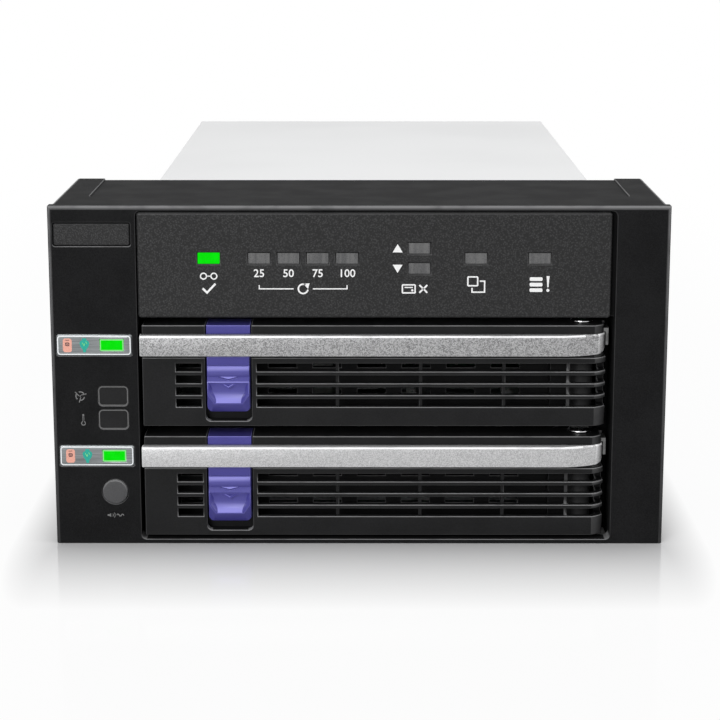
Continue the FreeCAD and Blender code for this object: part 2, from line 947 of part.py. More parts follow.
def display_panel():
    """Front plate of the display, with lens windows and posts for its board."""
    plate = plate_y(
        panel_left, panel_right, panel_bottom, panel_top, panel_corner, panel_face, panel_back
    )
    rim = edges_where(plate, lambda p: is_at(p.y, panel_face))
    pieces = [plate.makeFillet(panel_round, rim)]
    for x, z in panel_post_places():
        pieces.append(rod(x, panel_back, z, post_radius, display_board_gap))
    tools = []
    for x, z in lens_places() + [ok_place()]:
        tools.append(lens_block(x, z, lens_gap, panel_face - PAST, panel_back + PAST))
    return cut(join(pieces), tools)


def display_lens(x, z):
    """Lens with a collar behind the panel."""
    back = panel_back + lens_collar_depth
    lens = lens_block(x, z, 0, panel_face + lens_setback, back)
    collar = lens_block(x, z, lens_collar, panel_back, back)
    return join([lens, collar])


def ok_lens():
    """Lens of the lamp that is lit."""
    return display_lens(*ok_place())


def display_lenses():
    """All the lenses of the lamps that are dark."""
    return Part.makeCompound([display_lens(x, z) for x, z in lens_places()])


def display_leds():
    """Lamp on the display board behind each lens."""
    lamps = []
    lamp_front = panel_back + lens_collar_depth + display_lamp_air
    for x, z in lens_places() + [ok_place()]:
        lamps.append(lens_block(x, z, -display_lamp_inset, lamp_front, display_board_front))
    return Part.makeCompound(lamps)


def display_board():
    """Circuit board behind the display panel."""
    x0 = panel_left + display_board_inset
    x1 = panel_right - display_board_inset
    z0 = panel_bottom + display_board_inset
    z1 = panel_top - display_board_inset / 2
    y0 = display_board_front
    board = plate_y(x0, x1, z0, z1, board_corner, y0, display_board_back)
    holes = []
    for x, z in panel_post_places():
        holes.append(rod(x, y0 - PAST, z, board_hole, board_thick + 2 * PAST))
    return cut(board, holes)


def display_screws():
    """Screws that hold the display board to the panel."""
    screws = []
    for x, z in panel_post_places():
        screws.append(pan_screw(x, display_board_back, z, ALONG, board_screw, board_thick))
    return Part.makeCompound(screws)


def board_header():
    """Plug between the display board and the controller board."""
    x0 = tray_centre - header_width / 2
    x1 = tray_centre + header_width / 2
    y1 = controller_front + header_lap
    return box(x0, x1, display_board_back, y1, controller_top, controller_top + header_height)


# ---- sheet metal case ----
def case_shell():
    """Floor and two side walls, bent from one sheet."""
    outer = box(case_left, case_right, case_front, rear, 0, wall_top)
    half = (case_right - case_left) / 2
    bends = edges_where(outer, lambda p: is_at(p.z, 0) and is_at(abs(p.x - tray_centre), half))
    outer = outer.makeFillet(sheet, bends)
    inner = box(
        case_in_left, case_in_right, case_front - PAST, rear + PAST, sheet, wall_top + PAST
    )
    return cut(outer, [inner] + case_vents() + case_holes())


def case_vents():
    """Rows of long vents above the guides in the side walls, and slots in the floor."""
    tools = []
    y = front + vent_start
    while y + vent_length < rear - vent_end:
        for index in range(tray_count):
            z = lowest_ledge + tray_level(index) + guide_height + vent_above_rail
            tools.append(
                box(case_left - PAST, case_right + PAST, y, y + vent_length, z, z + vent_height)
            )
        y += vent_length + vent_gap
    first = tray_centre - floor_vent_pitch * (floor_vent_count - 1) / 2
    for index in range(floor_vent_count):
        x0 = first + index * floor_vent_pitch - floor_vent_width / 2
        tools.append(
            box(x0, x0 + floor_vent_width, front + vent_start, rear - vent_start, -PAST, sheet + PAST)
        )
    return tools


def case_holes():
    """Holes for the screws of the bezel and the brackets."""
    tools = []
    start = case_left - PAST
    length = case_right + PAST - start
    for y in bezel_screw_places():
        tools.append(rod(start, y, bezel_screw_height, machine_hole, length, ACROSS))
    for y, z in bracket_screw_places():
        tools.append(rod(start, y, z, machine_hole, length, ACROSS))
    return tools


def bracket_screw_places():
    """Screws of the fixing brackets: y, z."""
    first = bracket_front + bracket_screw_inset
    last = bracket_front + bracket_length - bracket_screw_inset
    low = bracket_bottom + bracket_sheet + foot_height / 2
    high = bracket_top - bracket_sheet - foot_height / 2
    return [(y, z) for y in (first, last) for z in (low, high)]


def top_cover():
    """Lid on the side walls, with a flange down inside each and one at the back."""
    plate = box(case_left, case_right, case_front, rear, wall_top, case_top)
    y0 = case_front + cover_flange_setback
    y1 = fan_front - cover_flange_setback
    z0 = wall_top - cover_flange
    inner_left = case_in_left + flange_gap
    inner_right = case_in_right - flange_gap
    left = box(inner_left, inner_left + thin_sheet, y0, y1, z0, wall_top)
    right = box(inner_right - thin_sheet, inner_right, y0, y1, z0, wall_top)
    back = box(
        case_in_left + cover_tab_inset, case_in_right - cover_tab_inset,
        fan_back - thin_sheet, fan_back, wall_top - cover_tab, wall_top,
    )
    tools = []
    start = case_left - PAST
    length = case_right + PAST - start
    for y in bezel_screw_places():
        tools.append(rod(start, y, bezel_screw_height, access_hole, length, ACROSS))
    for x in cover_screw_places():
        z = wall_top - cover_screw_drop
        y = fan_back - thin_sheet - PAST
        tools.append(rod(x, y, z, sheet_screw_pilot, thin_sheet + 2 * PAST))
    return cut(join([plate, left, right, back]), tools)


def cover_screw_places():
    """Screws that hold the cover to the back panel."""
    return [tray_centre - cover_screw_offset, tray_centre + cover_screw_offset]


def cover_screws():
    """The screws of the top cover."""
    screws = []
    z = wall_top - cover_screw_drop
    for x in cover_screw_places():
        screws.append(pan_screw(x, rear, z, ALONG, sheet_screw, cover_screw_length))
    return Part.makeCompound(screws)


def ring_slots(x, z, radii, width, y0, y1):
    """Ring-shaped slots about a point, broken by spokes."""
    rings = []
    for radius in radii:
        outer = rod(x, y0, z, radius + width, y1 - y0)
        rings.append(outer.cut(rod(x, y0, z, radius, y1 - y0)))
    bars = []
    reach = radii[-1] + width + PAST
    half = guard_spoke / 2
    for index in range(guard_spokes):
        bar = box(x - half, x + half, y0, y1, z, z + reach)
        bar.rotate(Vector(x, 0, z), ALONG, (index + 0.5) * 360.0 / guard_spokes)
        bars.append(bar)
    return Part.makeCompound(rings).cut(Part.makeCompound(bars))


def fan_screw_places():
    """Corner holes of the fan: x, z."""
    offset = fan_size / 2 - fan_hole_inset
    places = []
    for side in (-1, 1):
        for level in (-1, 1):
            places.append((fan_x + side * offset, fan_centre_height + level * offset))
    return places


def guard_radii():
    """Inner radii of the ring slots in front of the fan, as many as its bore takes."""
    radii = []
    radius = guard_first
    while radius + guard_slot < fan_bore:
        radii.append(radius)
        radius += guard_slot + guard_ring
    return radii


def rear_panel():
    """Back plate with the finger guard of the fan and the port cutouts."""
    pieces = [box(case_in_left, case_in_right, fan_back, rear, sheet, wall_top)]
    for x0 in (case_in_left, case_in_right - thin_sheet):
        pieces.append(
            box(x0, x0 + thin_sheet, fan_back - panel_flange, fan_back,
                sheet, wall_top - panel_flange_drop)
        )
    y0 = fan_back - PAST
    y1 = rear + PAST
    through = y1 - y0
    tools = [ring_slots(fan_x, fan_centre_height, guard_radii(), guard_slot, y0, y1)]
    for x, z in fan_screw_places():
        tools.append(rod(x, y0, z, fan_hole, through))
    for x in cover_screw_places():
        tools.append(rod(x, y0, wall_top - cover_screw_drop, machine_hole, through))
    for x0, x1, z0, z1 in (power_port_box(port_gap), data_port_box(port_gap)):
        tools.append(box(x0, x1, y0, y1, z0, z1))
    for index in range(back_vent_count):
        x = port_left + back_vent_width + index * back_vent_pitch
        tools.append(box(x, x + back_vent_width, y0, y1, *back_vent))
    return cut(join(pieces), tools)


def port_box(start, size, grow):
    """Corners of a port that stands on the port board: x0, x1, z0, z1."""
    width, _, height = size
    x = port_left + start + width / 2
    return centred_box(x, port_height + height / 2, width, height, grow)


def power_port_box(grow=0.0):
    """Corners of the power port."""
    return port_box(power_port_start, power_port_size, grow)


def data_port_box(grow=0.0):
    """Corners of the data port."""
    return port_box(data_port_start, data_port_size, grow)


def fan_screws():
    """Screws of the fan, put in from behind."""
    screws = []
    for x, z in fan_screw_places():
        screws.append(pan_screw(x, rear, z, ALONG, fan_screw, fan_screw_length))
    return Part.makeCompound(screws)


def deck_plate():
    """Shelf over the drives that carries the controller board."""
    pieces = [box(case_in_left, case_in_right, deck_front, deck_back, deck_bottom, deck_top)]
    for x0 in (case_in_left, case_in_right - thin_sheet):
        z1 = deck_bottom + deck_flange
        pieces.append(box(x0, x0 + thin_sheet, deck_front, deck_back, deck_bottom, z1))
    pieces.append(
        box(case_in_left + deck_back_inset, case_in_right - deck_back_inset,
            deck_back, backplane_front, deck_bottom, deck_bottom + deck_back_flange)
    )
    tools = []
    z0 = deck_bottom - PAST
    for x, y in standoff_places():
        tools.append(rod(x, y, z0, board_hole, thin_sheet + 2 * PAST, UP))
    first = tray_centre - deck_slot_pitch * (deck_slot_count - 1) / 2 - deck_slot_width / 2
    y0, y1 = deck_slot
    for index in range(deck_slot_count):
        x = first + index * deck_slot_pitch
        tools.append(
            box(x, x + deck_slot_width, deck_front + y0, deck_front + y1, z0, deck_top + PAST)
        )
    return cut(join(pieces), tools)


# ---- fixing brackets ----
def bracket_face(side):
    """Outer face of a bracket; side is -1 or 1."""
    return side * (half_width - mount_inset)


def bracket_profile(side, wall):
    """Hat-shaped section of a bracket: x, z."""
    outer = bracket_face(side)
    inner = outer - side * bracket_sheet
    foot = wall + side * bracket_sheet
    low = bracket_bottom + bracket_sheet
    high = bracket_top - bracket_sheet
    return [
        (wall, low + foot_height), (wall, bracket_bottom),
        (outer, bracket_bottom), (outer, bracket_top),
        (wall, bracket_top), (wall, high - foot_height),
        (foot, high - foot_height), (foot, high),
        (inner, high), (inner, low),
        (foot, low), (foot, low + foot_height),
    ]


def side_bracket(side):
    """Hat-shaped bracket between the case and the bay wall; side is -1 or 1."""
    wall = case_left if side < 0 else case_right
    outer = bracket_face(side)
    y0 = bracket_front
    y1 = y0 + bracket_length
    face = polygon([Vector(x, y0, z) for x, z in bracket_profile(side, wall)])
    body = face.extrude(Vector(0, bracket_length, 0))
    tools = []
    across = Vector(side, 0, 0)
    inside = outer - side * (bracket_sheet + PAST)
    through = bracket_sheet + 2 * PAST
    for y in (mount_y, mount_y + mount_spacing):
        for bay in range(bay_count):
            for rise in (0, mount_rise):
                z = mount_low + bay * bay_height + rise
                tools.append(rod(inside, y, z, mount_hole, through, across))
    for y, z in bracket_screw_places():
        tools.append(rod(wall - side * PAST, y, z, machine_hole, through, across))
        tools.append(rod(inside, y, z, bracket_access, through, across))
    for z in bracket_slots:
        x0 = min(outer, wall) - PAST
        x1 = max(outer, wall) + PAST
        tools.append(
            box(x0, x1, y0 + bracket_slot_front, y1 - bracket_slot_back, z, z + bracket_slot_height)
        )
    return cut(body, tools)


def bracket_screws():
    """Screws that hold both brackets to the case."""
    screws = []
    length = bracket_sheet + sheet
    for y, z in bracket_screw_places():
        for side, wall in ((-1, case_left), (1, case_right)):
            x = wall + side * bracket_sheet
            screws.append(pan_screw(x, y, z, Vector(side, 0, 0), machine_screw, length))
    return Part.makeCompound(screws)


def bezel_screws():
    """Screws that hold the bezel to the case, put in from inside."""
    screws = []
    length = sheet + inner_wall
    for y in bezel_screw_places():
        for side, wall in ((-1, case_in_left), (1, case_in_right)):
            out = Vector(-side, 0, 0)
            screws.append(pan_screw(wall, y, bezel_screw_height, out, sheet_screw, length))
    return Part.makeCompound(screws)


# ---- tray guides ----
def guide_rail(index, side):
    """L-shaped rail on the case wall under one side of a tray."""
    ledge_top = lowest_ledge + tray_level(index)
    z0 = max(ledge_top - ledge_thick, sheet)
    z1 = ledge_top + guide_height
    y0 = guide_front
    y1 = drive_rear + guide_tail
    wall = case_in_left if side < 0 else case_in_right
    web_face = wall - side * guide_thick
    tip = web_face - side * ledge_reach
    profile = [
        (wall, z0), (tip, z0), (tip, ledge_top),
        (web_face, ledge_top), (web_face, z1), (wall, z1),
    ]
    rail = polygon([Vector(x, y0, z) for x, z in profile]).extrude(Vector(0, y1 - y0, 0))
    lead = polygon([
        Vector(web_face, y0, ledge_top),
        Vector(web_face, y0 + guide_lead, ledge_top),
        Vector(web_face + side * guide_lead_depth, y0, ledge_top),
    ]).extrude(Vector(0, 0, guide_height))
    return rail.cut(lead)


def tray_guides():
    """All the guide rails."""
    rails = []
    for index in range(tray_count):
        for side in (-1, 1):
            rails.append(guide_rail(index, side))
    return Part.makeCompound(rails)


# ---- tray ----
def tray_side(x0, side):
    """Side rail of a tray with drive holes, finger slots and a stepped rear end."""
    z0 = tray_side_bottom
    z1 = z0 + tray_wall_height
    y0 = tray_front
    y1 = drive_rear
    waist = z0 + waist_height
    shoulder = z1 + shoulder_rise
    outline = [
        (y0, z0), (y1, z0), (y1, z0 + tail_height), (y1 - tail_length, waist),
        (y1 - waist_length, waist), (y1 - waist_length - waist_slope, z1),
        (y0 + shoulder_length + shoulder_slope, z1), (y0 + shoulder_length, shoulder),
        (y0, shoulder),
    ]
    wall = polygon([Vector(x0, y, z) for y, z in outline]).extrude(Vector(tray_wall, 0, 0))
    tools = []
    outer = x0 if side < 0 else x0 + tray_wall
    for back in drive_side_holes:
        y = drive_rear - back
        z = z0 + drive_side_hole_rise
        tools.append(rod(x0 - PAST, y, z, drive_hole, tray_wall + 2 * PAST, ACROSS))
        start = outer - side * drive_sink_depth
        out = Vector(side, 0, 0)
        tools.append(rod(start, y, z, drive_sink, drive_sink_depth + PAST, out))
    slot_top = z0 + waist_height + PAST
    for index in range(finger_slot_count):
        y = y0 + shoulder_length + shoulder_slope + index * finger_slot_pitch
        tools.append(
            box(x0 - PAST, x0 + tray_wall + PAST, y, y + finger_slot_length,
                slot_top - finger_slot_height, slot_top)
        )
    return cut(wall, tools)


def tray_front_wall_shape():
    """Cross wall behind the door, with rows of air holes; it reaches the hinge."""
    z0 = tray_side_bottom
    right = max(tray_right, pin_x)
    y1 = tray_front + tray_front_wall
    wall = box(tray_left, right, tray_front, y1, z0, tray_front_top)
    tools = []
    for row in range(air_hole_rows):
        for column in range(air_hole_columns):
            x = tray_left + (column + 0.5) * air_hole_pitch
            z = z0 + air_hole_rise + row * air_hole_row_pitch
            tools.append(
                box(x, x + air_hole_width, tray_front - PAST, y1 + PAST, z, z + air_hole_height)
            )
    return cut(wall, tools)


def hinge_corner():
    """Thick corner of a tray around the sweep of the lever end."""
    return box(
        min(pin_x - relief_radius - corner_wall, tray_right - tray_wall), tray_right,
        tray_front, pin_y + relief_radius + corner_wall,
        tray_side_bottom, tray_front_top,
    )


def tray_frame(index):
    """Moulded tray: two side rails, a front wall and the hinge boss."""
    relief = rod(pin_x, pin_y, 0, relief_radius, door_top, UP)
    walls = join([
        tray_front_wall_shape(), hinge_corner(),
        tray_side(tray_left, -1), tray_side(tray_right - tray_wall, 1),
    ]).cut(relief)
    z0 = lowest_door + door_flange + boss_play
    z1 = hook_top - hook_sheet - boss_top_play
    boss = rod(pin_x, pin_y, z0, boss_radius, z1 - z0, UP)
    web = box(
        pin_x - relief_radius - boss_web_left, pin_x - boss_web_right,
        pin_y, tray_front + tray_front_wall, z0, z1,
    )
    bore = rod(pin_x, pin_y, lowest_door, pin_radius, door_height, UP)
    body = join([walls, boss, web]).cut(bore)
    return body.translated(Vector(0, 0, tray_level(index)))


def tray_plate_shape(index):
    """Steel plate under a drive, with its four fixing holes and windows."""
    z0 = lowest_tray + tray_level(index)
    plate = box(tray_left, tray_right, tray_front, drive_rear, z0, z0 + tray_plate)
    low = z0 - PAST
    through = tray_plate + 2 * PAST
    tools = [rod(pin_x, pin_y, low, relief_radius, through, UP)]
    for side in (-1, 1):
        x = tray_centre + side * drive_bottom_width / 2
        for back in (drive_bottom_first, drive_bottom_first + drive_bottom_length):
            tools.append(rod(x, drive_rear - back, low, drive_hole, through, UP))
    first = tray_centre - plate_window_pitch * (plate_window_columns - 1) / 2
    for column in range(plate_window_columns):
        x0 = first + column * plate_window_pitch - plate_window_width / 2
        for row in range(2):
            y0 = drive_front + tail_length + row * plate_window_row_pitch
            tools.append(
                box(x0, x0 + plate_window_width, y0, y0 + plate_window_length, low, low + through)
            )
    return cut(plate, tools)


def hinge_pin(index):
    """Bright pin through the door flanges and the hinge boss of a tray."""
    head_bottom = door_top + pin_play
    head_top = head_bottom + pin_head_height
    foot = lowest_door + pin_foot
    shank = rod(pin_x, pin_y, foot, pin_radius, head_bottom - foot, UP)
    head = rod(pin_x, pin_y, head_bottom, pin_head_radius, pin_head_height, UP)
    head = head.makeChamfer(pin_head_bevel, edges_where(head, lambda p: is_at(p.z, head_top)))
    return join([shank, head]).translated(Vector(0, 0, tray_level(index)))


# ---- tray door, the lever ----
def around_pin(x, y):
    """Point at a distance from the hinge pin, seen from above."""
    return Vector(pin_x + x, pin_y + y, 0)


def arc_around_pin(radius, start, end):
    """Arc about the hinge pin between two angles."""
    middle = (start + end) / 2
    points = []
    for angle in (start, middle, end):
        points.append(around_pin(radius * math.cos(angle), radius * math.sin(angle)))
    return Part.Arc(*points).toShape()


def line_around_pin(x0, y0, x1, y1):
    """Straight edge between two places given from the hinge pin."""
    return Part.LineSegment(around_pin(x0, y0), around_pin(x1, y1)).toShape()


def lever_outline(inset, back, round_back):
    """Plan of the door: straight front, round right end about the pin."""
    left = door_left + inset - pin_x
    face = -pin_behind_front + inset
    radius = swing_radius - inset
    end = lever_end - inset
    turn_x = math.sqrt(radius ** 2 - face ** 2)
    end_y = -math.sqrt(radius ** 2 - end ** 2)
    edges = [
        line_around_pin(left, face, turn_x, face),
        arc_around_pin(radius, math.atan2(face, turn_x), math.atan2(end_y, end)),
    ]
    corner_x = end
    if round_back:
        corner_x = math.sqrt(eye_radius ** 2 - back ** 2)
        edges.append(line_around_pin(end, end_y, end, 0))
        edges.append(arc_around_pin(eye_radius, 0, math.atan2(back, corner_x)))
    else:
        edges.append(line_around_pin(end, end_y, end, back))
    edges.append(line_around_pin(corner_x, back, left, back))
    edges.append(line_around_pin(left, back, left, face))
    return Part.Face(Part.Wire(edges))


def lever_prism(inset, back, round_back, z0, z1):
    """The plan of the door between two heights."""
    face = lever_outline(inset, back, round_back)
    return face.extrude(Vector(0, 0, z1 - z0)).translated(Vector(0, 0, z0))


def slot_levels():
    """Bottom and top of each door slot, from the top slot down."""
    levels = []
    for index in range(slot_count):
        top = door_top - top_slot_from_top - index * (slot_height + slat_height)
        levels.append((top - slot_height, top))
    return levels


def door_slots():
    """Cutters of the air slots on both sides of the latch."""
    tools = []
    left = door_left + left_slots_from_left
    right = door_left + right_slots_from_left
    past_end = pin_x + swing_radius + PAST
    y0 = front - PAST
    y1 = front + door_wall + THIN_PAST
    for z0, z1 in slot_levels():
        tools.append(box(left, left + left_slots_width, y0, y1, z0, z1))
        tools.append(box(right, past_end, y0, y1, z0, z1))
        tools.append(box(pin_x, past_end, y0, pin_y - PAST, z0, z1))
    return tools


def door_ribs():
    """Upright ribs behind the slats."""
    z0 = lowest_door + door_flange
    z1 = band_bottom + door_recess
    y0 = front + rib_setback
    half = rib_width / 2
    ribs = []
    x = door_left + first_rib_from_left
    while x < pin_x - eye_radius:
        ribs.append(box(x - half, x + half, y0, y0 + rib_depth, z0, z1))
        x += rib_pitch
    x = pin_x - boss_radius - last_rib_gap
    ribs.append(box(x - half, x + half, y0, y0 + last_rib_depth, z0, z1))
    return ribs


def latch_housing():
    """Back and cheeks of the channel that the latch slides in."""
    t = latch_housing_wall
    x0 = channel_left - t
    x1 = channel_right + t
    y0 = channel_back
    z0 = lowest_door + door_flange
    z1 = hook_top - latch_top_height - latch_travel - latch_housing_gap
    cheek_front = front + door_wall - pad_inset
    return [
        box(x0, x1, y0, y0 + t, z0, z1),
        box(x0, channel_left, cheek_front, y0 + t, z0, z1),
        box(channel_right, x1, cheek_front, y0 + t, z0, z1),
    ]


def latch_channel():
    """Cutters of the U-shaped channel in the front of the door and of its open top."""
    z0 = lowest_door + channel_bottom
    past_top = door_top + latch_top_depth
    front_cut = plate_y(
        channel_left, channel_right, z0, past_top, channel_round, front - PAST, channel_back
    )
    top_cut = box(
        channel_left, channel_right, front - PAST, front + door_depth + PAST,
        hook_top - THIN_PAST, door_top + PAST,
    )
    return [front_cut, top_cut]


def band_recess():
    """Cutter that sets the door face back behind the bar and above it."""
    z0 = band_bottom - PAST
    z1 = door_top + PAST
    outer = box(door_left - PAST, pin_x + door_depth, front - PAST, pin_y, band_bottom, z1)
    keep = lever_prism(door_recess, door_depth, False, z0, z1)
    keep_left = box(
        door_left - 2 * PAST, door_left + 2 * door_recess, front + door_recess, pin_y + PAST, z0, z1
    )
    return outer.cut(keep.fuse(keep_left))


def lever_door(index):
    """Slotted door with flanges, hinge eyes and the latch channel."""
    z0 = lowest_door
    z1 = door_top
    inner_bottom = z0 + door_flange
    solid = lever_prism(0, door_back, True, z0, z1)
    cavity = lever_prism(door_wall, door_depth, False, inner_bottom, hook_top)
    behind = box(
        pin_x, pin_x + door_depth, pin_y, pin_y + door_depth, inner_bottom, hook_top
    )
    shell = cut(solid, [cavity, behind])
    shell = cut(shell, [band_recess()] + door_slots())
    body = cut(join([shell] + door_ribs() + latch_housing()), latch_channel())
    hook_gap = box(
        pin_x + lever_end - door_wall - hook_clearance, pin_x + door_depth,
        pin_y - hook_reach - hook_clearance, pin_y + PAST,
        hook_bottom - hook_clearance, hook_top,
    )
    eyes = rod(pin_x, pin_y, z0 - PAST, pin_radius + pin_play, door_height + 2 * PAST, UP)
    return cut(body, [hook_gap, eyes]).translated(Vector(0, 0, tray_level(index)))


def lever_hook(index):
    """Steel plate about the pin with a tab at the right end of the door."""
    z0 = hook_top - hook_sheet
    tab_x = pin_x + lever_end + hook_tab_gap
    y0 = pin_y - hook_reach
    y1 = pin_y + hook_reach
    tab = box(tab_x, tab_x + hook_tab_sheet, y0, y1, hook_bottom, hook_top)
    arm = box(pin_x, tab_x + hook_tab_sheet, y0, y1, z0, hook_top)
    eye = rod(pin_x, pin_y, z0, hook_eye, hook_sheet, UP)
    tail = box(pin_x - hook_tail, pin_x, pin_y - hook_eye, pin_y, z0, hook_top)
    bore = rod(pin_x, pin_y, z0 - PAST, pin_radius + pin_play, hook_sheet + 2 * PAST, UP)
    return join([tab, arm, eye, tail]).cut(bore).translated(Vector(0, 0, tray_level(index)))


def bar_outline():
    """Plan of the bright bar: flat front that curves back around the lever end."""
    turn = math.radians(90 - bar_turn)
    face = -pin_behind_front - bar_proud
    end_x = swing_radius * math.sin(turn)
    end_y = -swing_radius * math.cos(turn)
    radius = (end_y - face) / (1 - math.cos(turn))
    start_x = end_x - radius * math.sin(turn)
    mid_x = start_x + radius * math.sin(turn / 2)
    mid_y = face + radius * (1 - math.cos(turn / 2))
    tip_x = lever_end - bar_end_gap
    tip_y = -math.sqrt(swing_radius ** 2 - tip_x ** 2)
    back = -hook_reach - bar_end_gap
    left = door_left - bar_overhang - pin_x
    bend = Part.Arc(around_pin(start_x, face), around_pin(mid_x, mid_y), around_pin(end_x, end_y))
    edges = [
        line_around_pin(left, face, start_x, face),
        bend.toShape(),
        arc_around_pin(swing_radius, math.atan2(end_y, end_x), math.atan2(tip_y, tip_x)),
        line_around_pin(tip_x, tip_y, tip_x, back),
        line_around_pin(tip_x, back, left, back),
        line_around_pin(left, back, left, face),
    ]
    return Part.Face(Part.Wire(edges))


def lever_bar(index):
    """Bright bar clipped to the recessed band of the door."""
    z0 = bar_bottom
    z1 = z0 + bar_height
    x0 = door_left - bar_overhang
    x1 = pin_x + lever_end - bar_end_gap
    y0 = front - bar_proud
    body = bar_outline().extrude(Vector(0, 0, bar_height)).translated(Vector(0, 0, z0))
    band = lever_prism(door_recess, door_depth, False, z0 - PAST, z1 + PAST)
    left_part = box(
        x0 - PAST, door_left + 2 * door_recess, front + door_recess, pin_y, z0 - PAST, z1 + PAST
    )
    corner_x = x1 - bar_corner
    corner_z = z0 + bar_corner
    corner = box(corner_x, x1 + PAST, y0 - PAST, pin_y, z0 - PAST, corner_z)
    round_part = rod(corner_x, y0 - 2 * PAST, corner_z, bar_corner, pin_y - y0 + 4 * PAST)
    body = cut(body, [band, left_part, corner.cut(round_part)])
    top_edges = edges_where(
        body, lambda p: is_at(p.z, z1) and p.y < front - door_recess and p.x > x0 + TOL
    )
    body = body.makeChamfer(bar_edge, top_edges)
    return body.translated(Vector(0, 0, tray_level(index)))


# ---- latch ----
def pad_profile(x, z0, pad_top):
    """Side view of the thumb pad from its toe up to the bar, at one X."""
    back = latch_front + pad_inset
    lip_y = front - latch_proud
    face_y = lip_y + pad_face
    ridge_top = z0 + ridge_start + ridge_length
    groove_y = face_y + groove_depth
    groove_top = ridge_top + groove_width

    def at(y, z):
        return Vector(x, y, z)

    crest = at(face_y + ridge_foot / 2 - ridge_height, z0 + ridge_start + ridge_length / 2)
    ridge = Part.Arc(at(face_y + ridge_foot, z0 + ridge_start), crest, at(face_y, ridge_top))
    lower = [
        at(back, z0), at(front + pad_toe, z0), at(lip_y, z0 + lip_rise),
        at(lip_y + ridge_foot, z0 + lip_rise + dish_length),
        at(face_y + ridge_foot, z0 + ridge_start),
    ]
    upper = [
        at(face_y, ridge_top), at(groove_y, ridge_top), at(groove_y, groove_top),
        at(face_y, groove_top), at(face_y, pad_top), at(back, pad_top), at(back, z0),
    ]
    edges = [Part.makePolygon(lower), ridge.toShape(), Part.makePolygon(upper)]
    return Part.Face(Part.Wire(edges))


def lip_points(middle, low, inset):
    """Lower half of the dish seen from the front, from its left end to its right end: x, z."""
    half = latch_width / 2 - pad_inset - inset
    high = low + lip_corner_rise
    return [
        (middle - half, high), (middle - half + lip_corner, low),
        (middle + half - lip_corner, low), (middle + half, high),
    ]


def pad_dish(middle, z0):
    """Cutter of the thumb dish: a round hollow whose sides slope in from the lip."""
    lip_y = front - latch_proud
    bend = dish_length ** 2 / (8 * dish_depth) + dish_depth / 2
    z = z0 + lip_rise + dish_length / 2
    hollow = rod(
        middle - latch_width, lip_y + dish_depth - bend, z, bend, 2 * latch_width, ACROSS
    )
    wires = []
    for depth in (-PAST, 2 * PAST):
        inset = lip_rim + dish_side * depth
        points = lip_points(middle, z0 + lip_rise + lip_rim, inset)
        top = z0 + ridge_start
        points = points + [(points[3][0], top), (points[0][0], top)]
        corners = [Vector(x, lip_y + depth, z) for x, z in points]
        wires.append(Part.makePolygon(corners + [corners[0]]))
    return hollow.common(Part.makeLoft(wires, True, True))


def corner_slope(middle, z0, side):
    """Cutter of the sloping lower corner of the pad on one side."""
    lip_y = front - latch_proud
    half = latch_width / 2 - pad_inset
    high = Vector(middle + side * half, lip_y, z0 + lip_rise + lip_corner_rise)
    low = Vector(middle + side * (half - lip_corner), lip_y, z0 + lip_rise)
    foot = Vector(middle + side * half, front + pad_toe, z0 + lip_foot)
    out = (low - high).cross(foot - high)
    out.normalize()
    if out.x * side < 0:
        out = out * -1
    centre = (high + low + foot) * (1.0 / 3)
    corners = [centre + (p - centre) * 4 for p in (high, low, foot)]
    return polygon(corners).extrude(out * latch_width)


def pointer(middle, z, reach, rise, stroke, y0, y1):
    """V-shaped stroke whose tip is at the bottom."""
    arms = []
    for side in (-1, 1):
        arms.append(polygon([
            Vector(middle, y0, z), Vector(middle, y0, z + stroke),
            Vector(middle + side * reach, y0, z + rise + stroke),
            Vector(middle + side * reach, y0, z + rise),
        ]).extrude(Vector(0, y1 - y0, 0)))
    return join(arms)


def thumb_pad(z0, pad_top):
    """Ribbed and dished pad with a raised pointer."""
    x0 = latch_left + pad_inset
    x1 = latch_right - pad_inset
    middle = (x0 + x1) / 2
    lip_y = front - latch_proud
    back = latch_front + pad_inset
    prism = pad_profile(x0, z0, pad_top).extrude(Vector(x1 - x0, 0, 0))
    outline = plate_y(
        x0, x1, z0, pad_top + channel_round, channel_round, lip_y - PAST, back + PAST
    )
    valley_y = lip_y + pad_face + ridge_foot
    valley_z = z0 + ridge_start - valley_rise - valley_stroke
    valley = pointer(
        middle, valley_z, mark_reach, valley_rise, valley_stroke, lip_y - PAST, valley_y + ridge_foot
    )
    tools = [pad_dish(middle, z0), valley]
    for side in (-1, 1):
        tools.append(corner_slope(middle, z0, side))
    mark_z = z0 + ridge_start - mark_below_ridge - mark_rise
    mark = pointer(
        middle, mark_z, mark_reach, mark_rise, mark_stroke,
        lip_y + mark_height, lip_y + dish_depth + mark_height,
    )
    return join([cut(prism.common(outline), tools), mark])


def latch(index):
    """Thumb slider: plate behind the bar, top block and thumb pad."""
    z0 = lowest_door + latch_bottom
    plate = plate_y(
        latch_left, latch_right, z0, door_top, channel_round,
        latch_front, latch_front + latch_plate,
    )
    block = box(
        latch_left, latch_right, front + door_recess, front + latch_top_depth,
        door_top - latch_top_height, door_top,
    )
    body = join([plate, block, thumb_pad(z0, bar_bottom - pad_to_bar)])
    return body.translated(Vector(0, 0, tray_level(index)))


# ---- electronics inside ----
def standoff_places():
    """Posts under the controller board: x, y."""
    places = []
    for x in (case_in_left + standoff_inset, case_in_right - standoff_inset):
        for y in (controller_front + standoff_front, backplane_front - standoff_back):
            places.append((x, y))
    return places


def standoffs():
    """Hexagonal posts between the deck plate and the controller board."""
    posts = []
    for x, y in standoff_places():
        posts.append(regular_prism(x, y, deck_top, standoff_radius, 6, standoff, UP))
    return Part.makeCompound(posts)


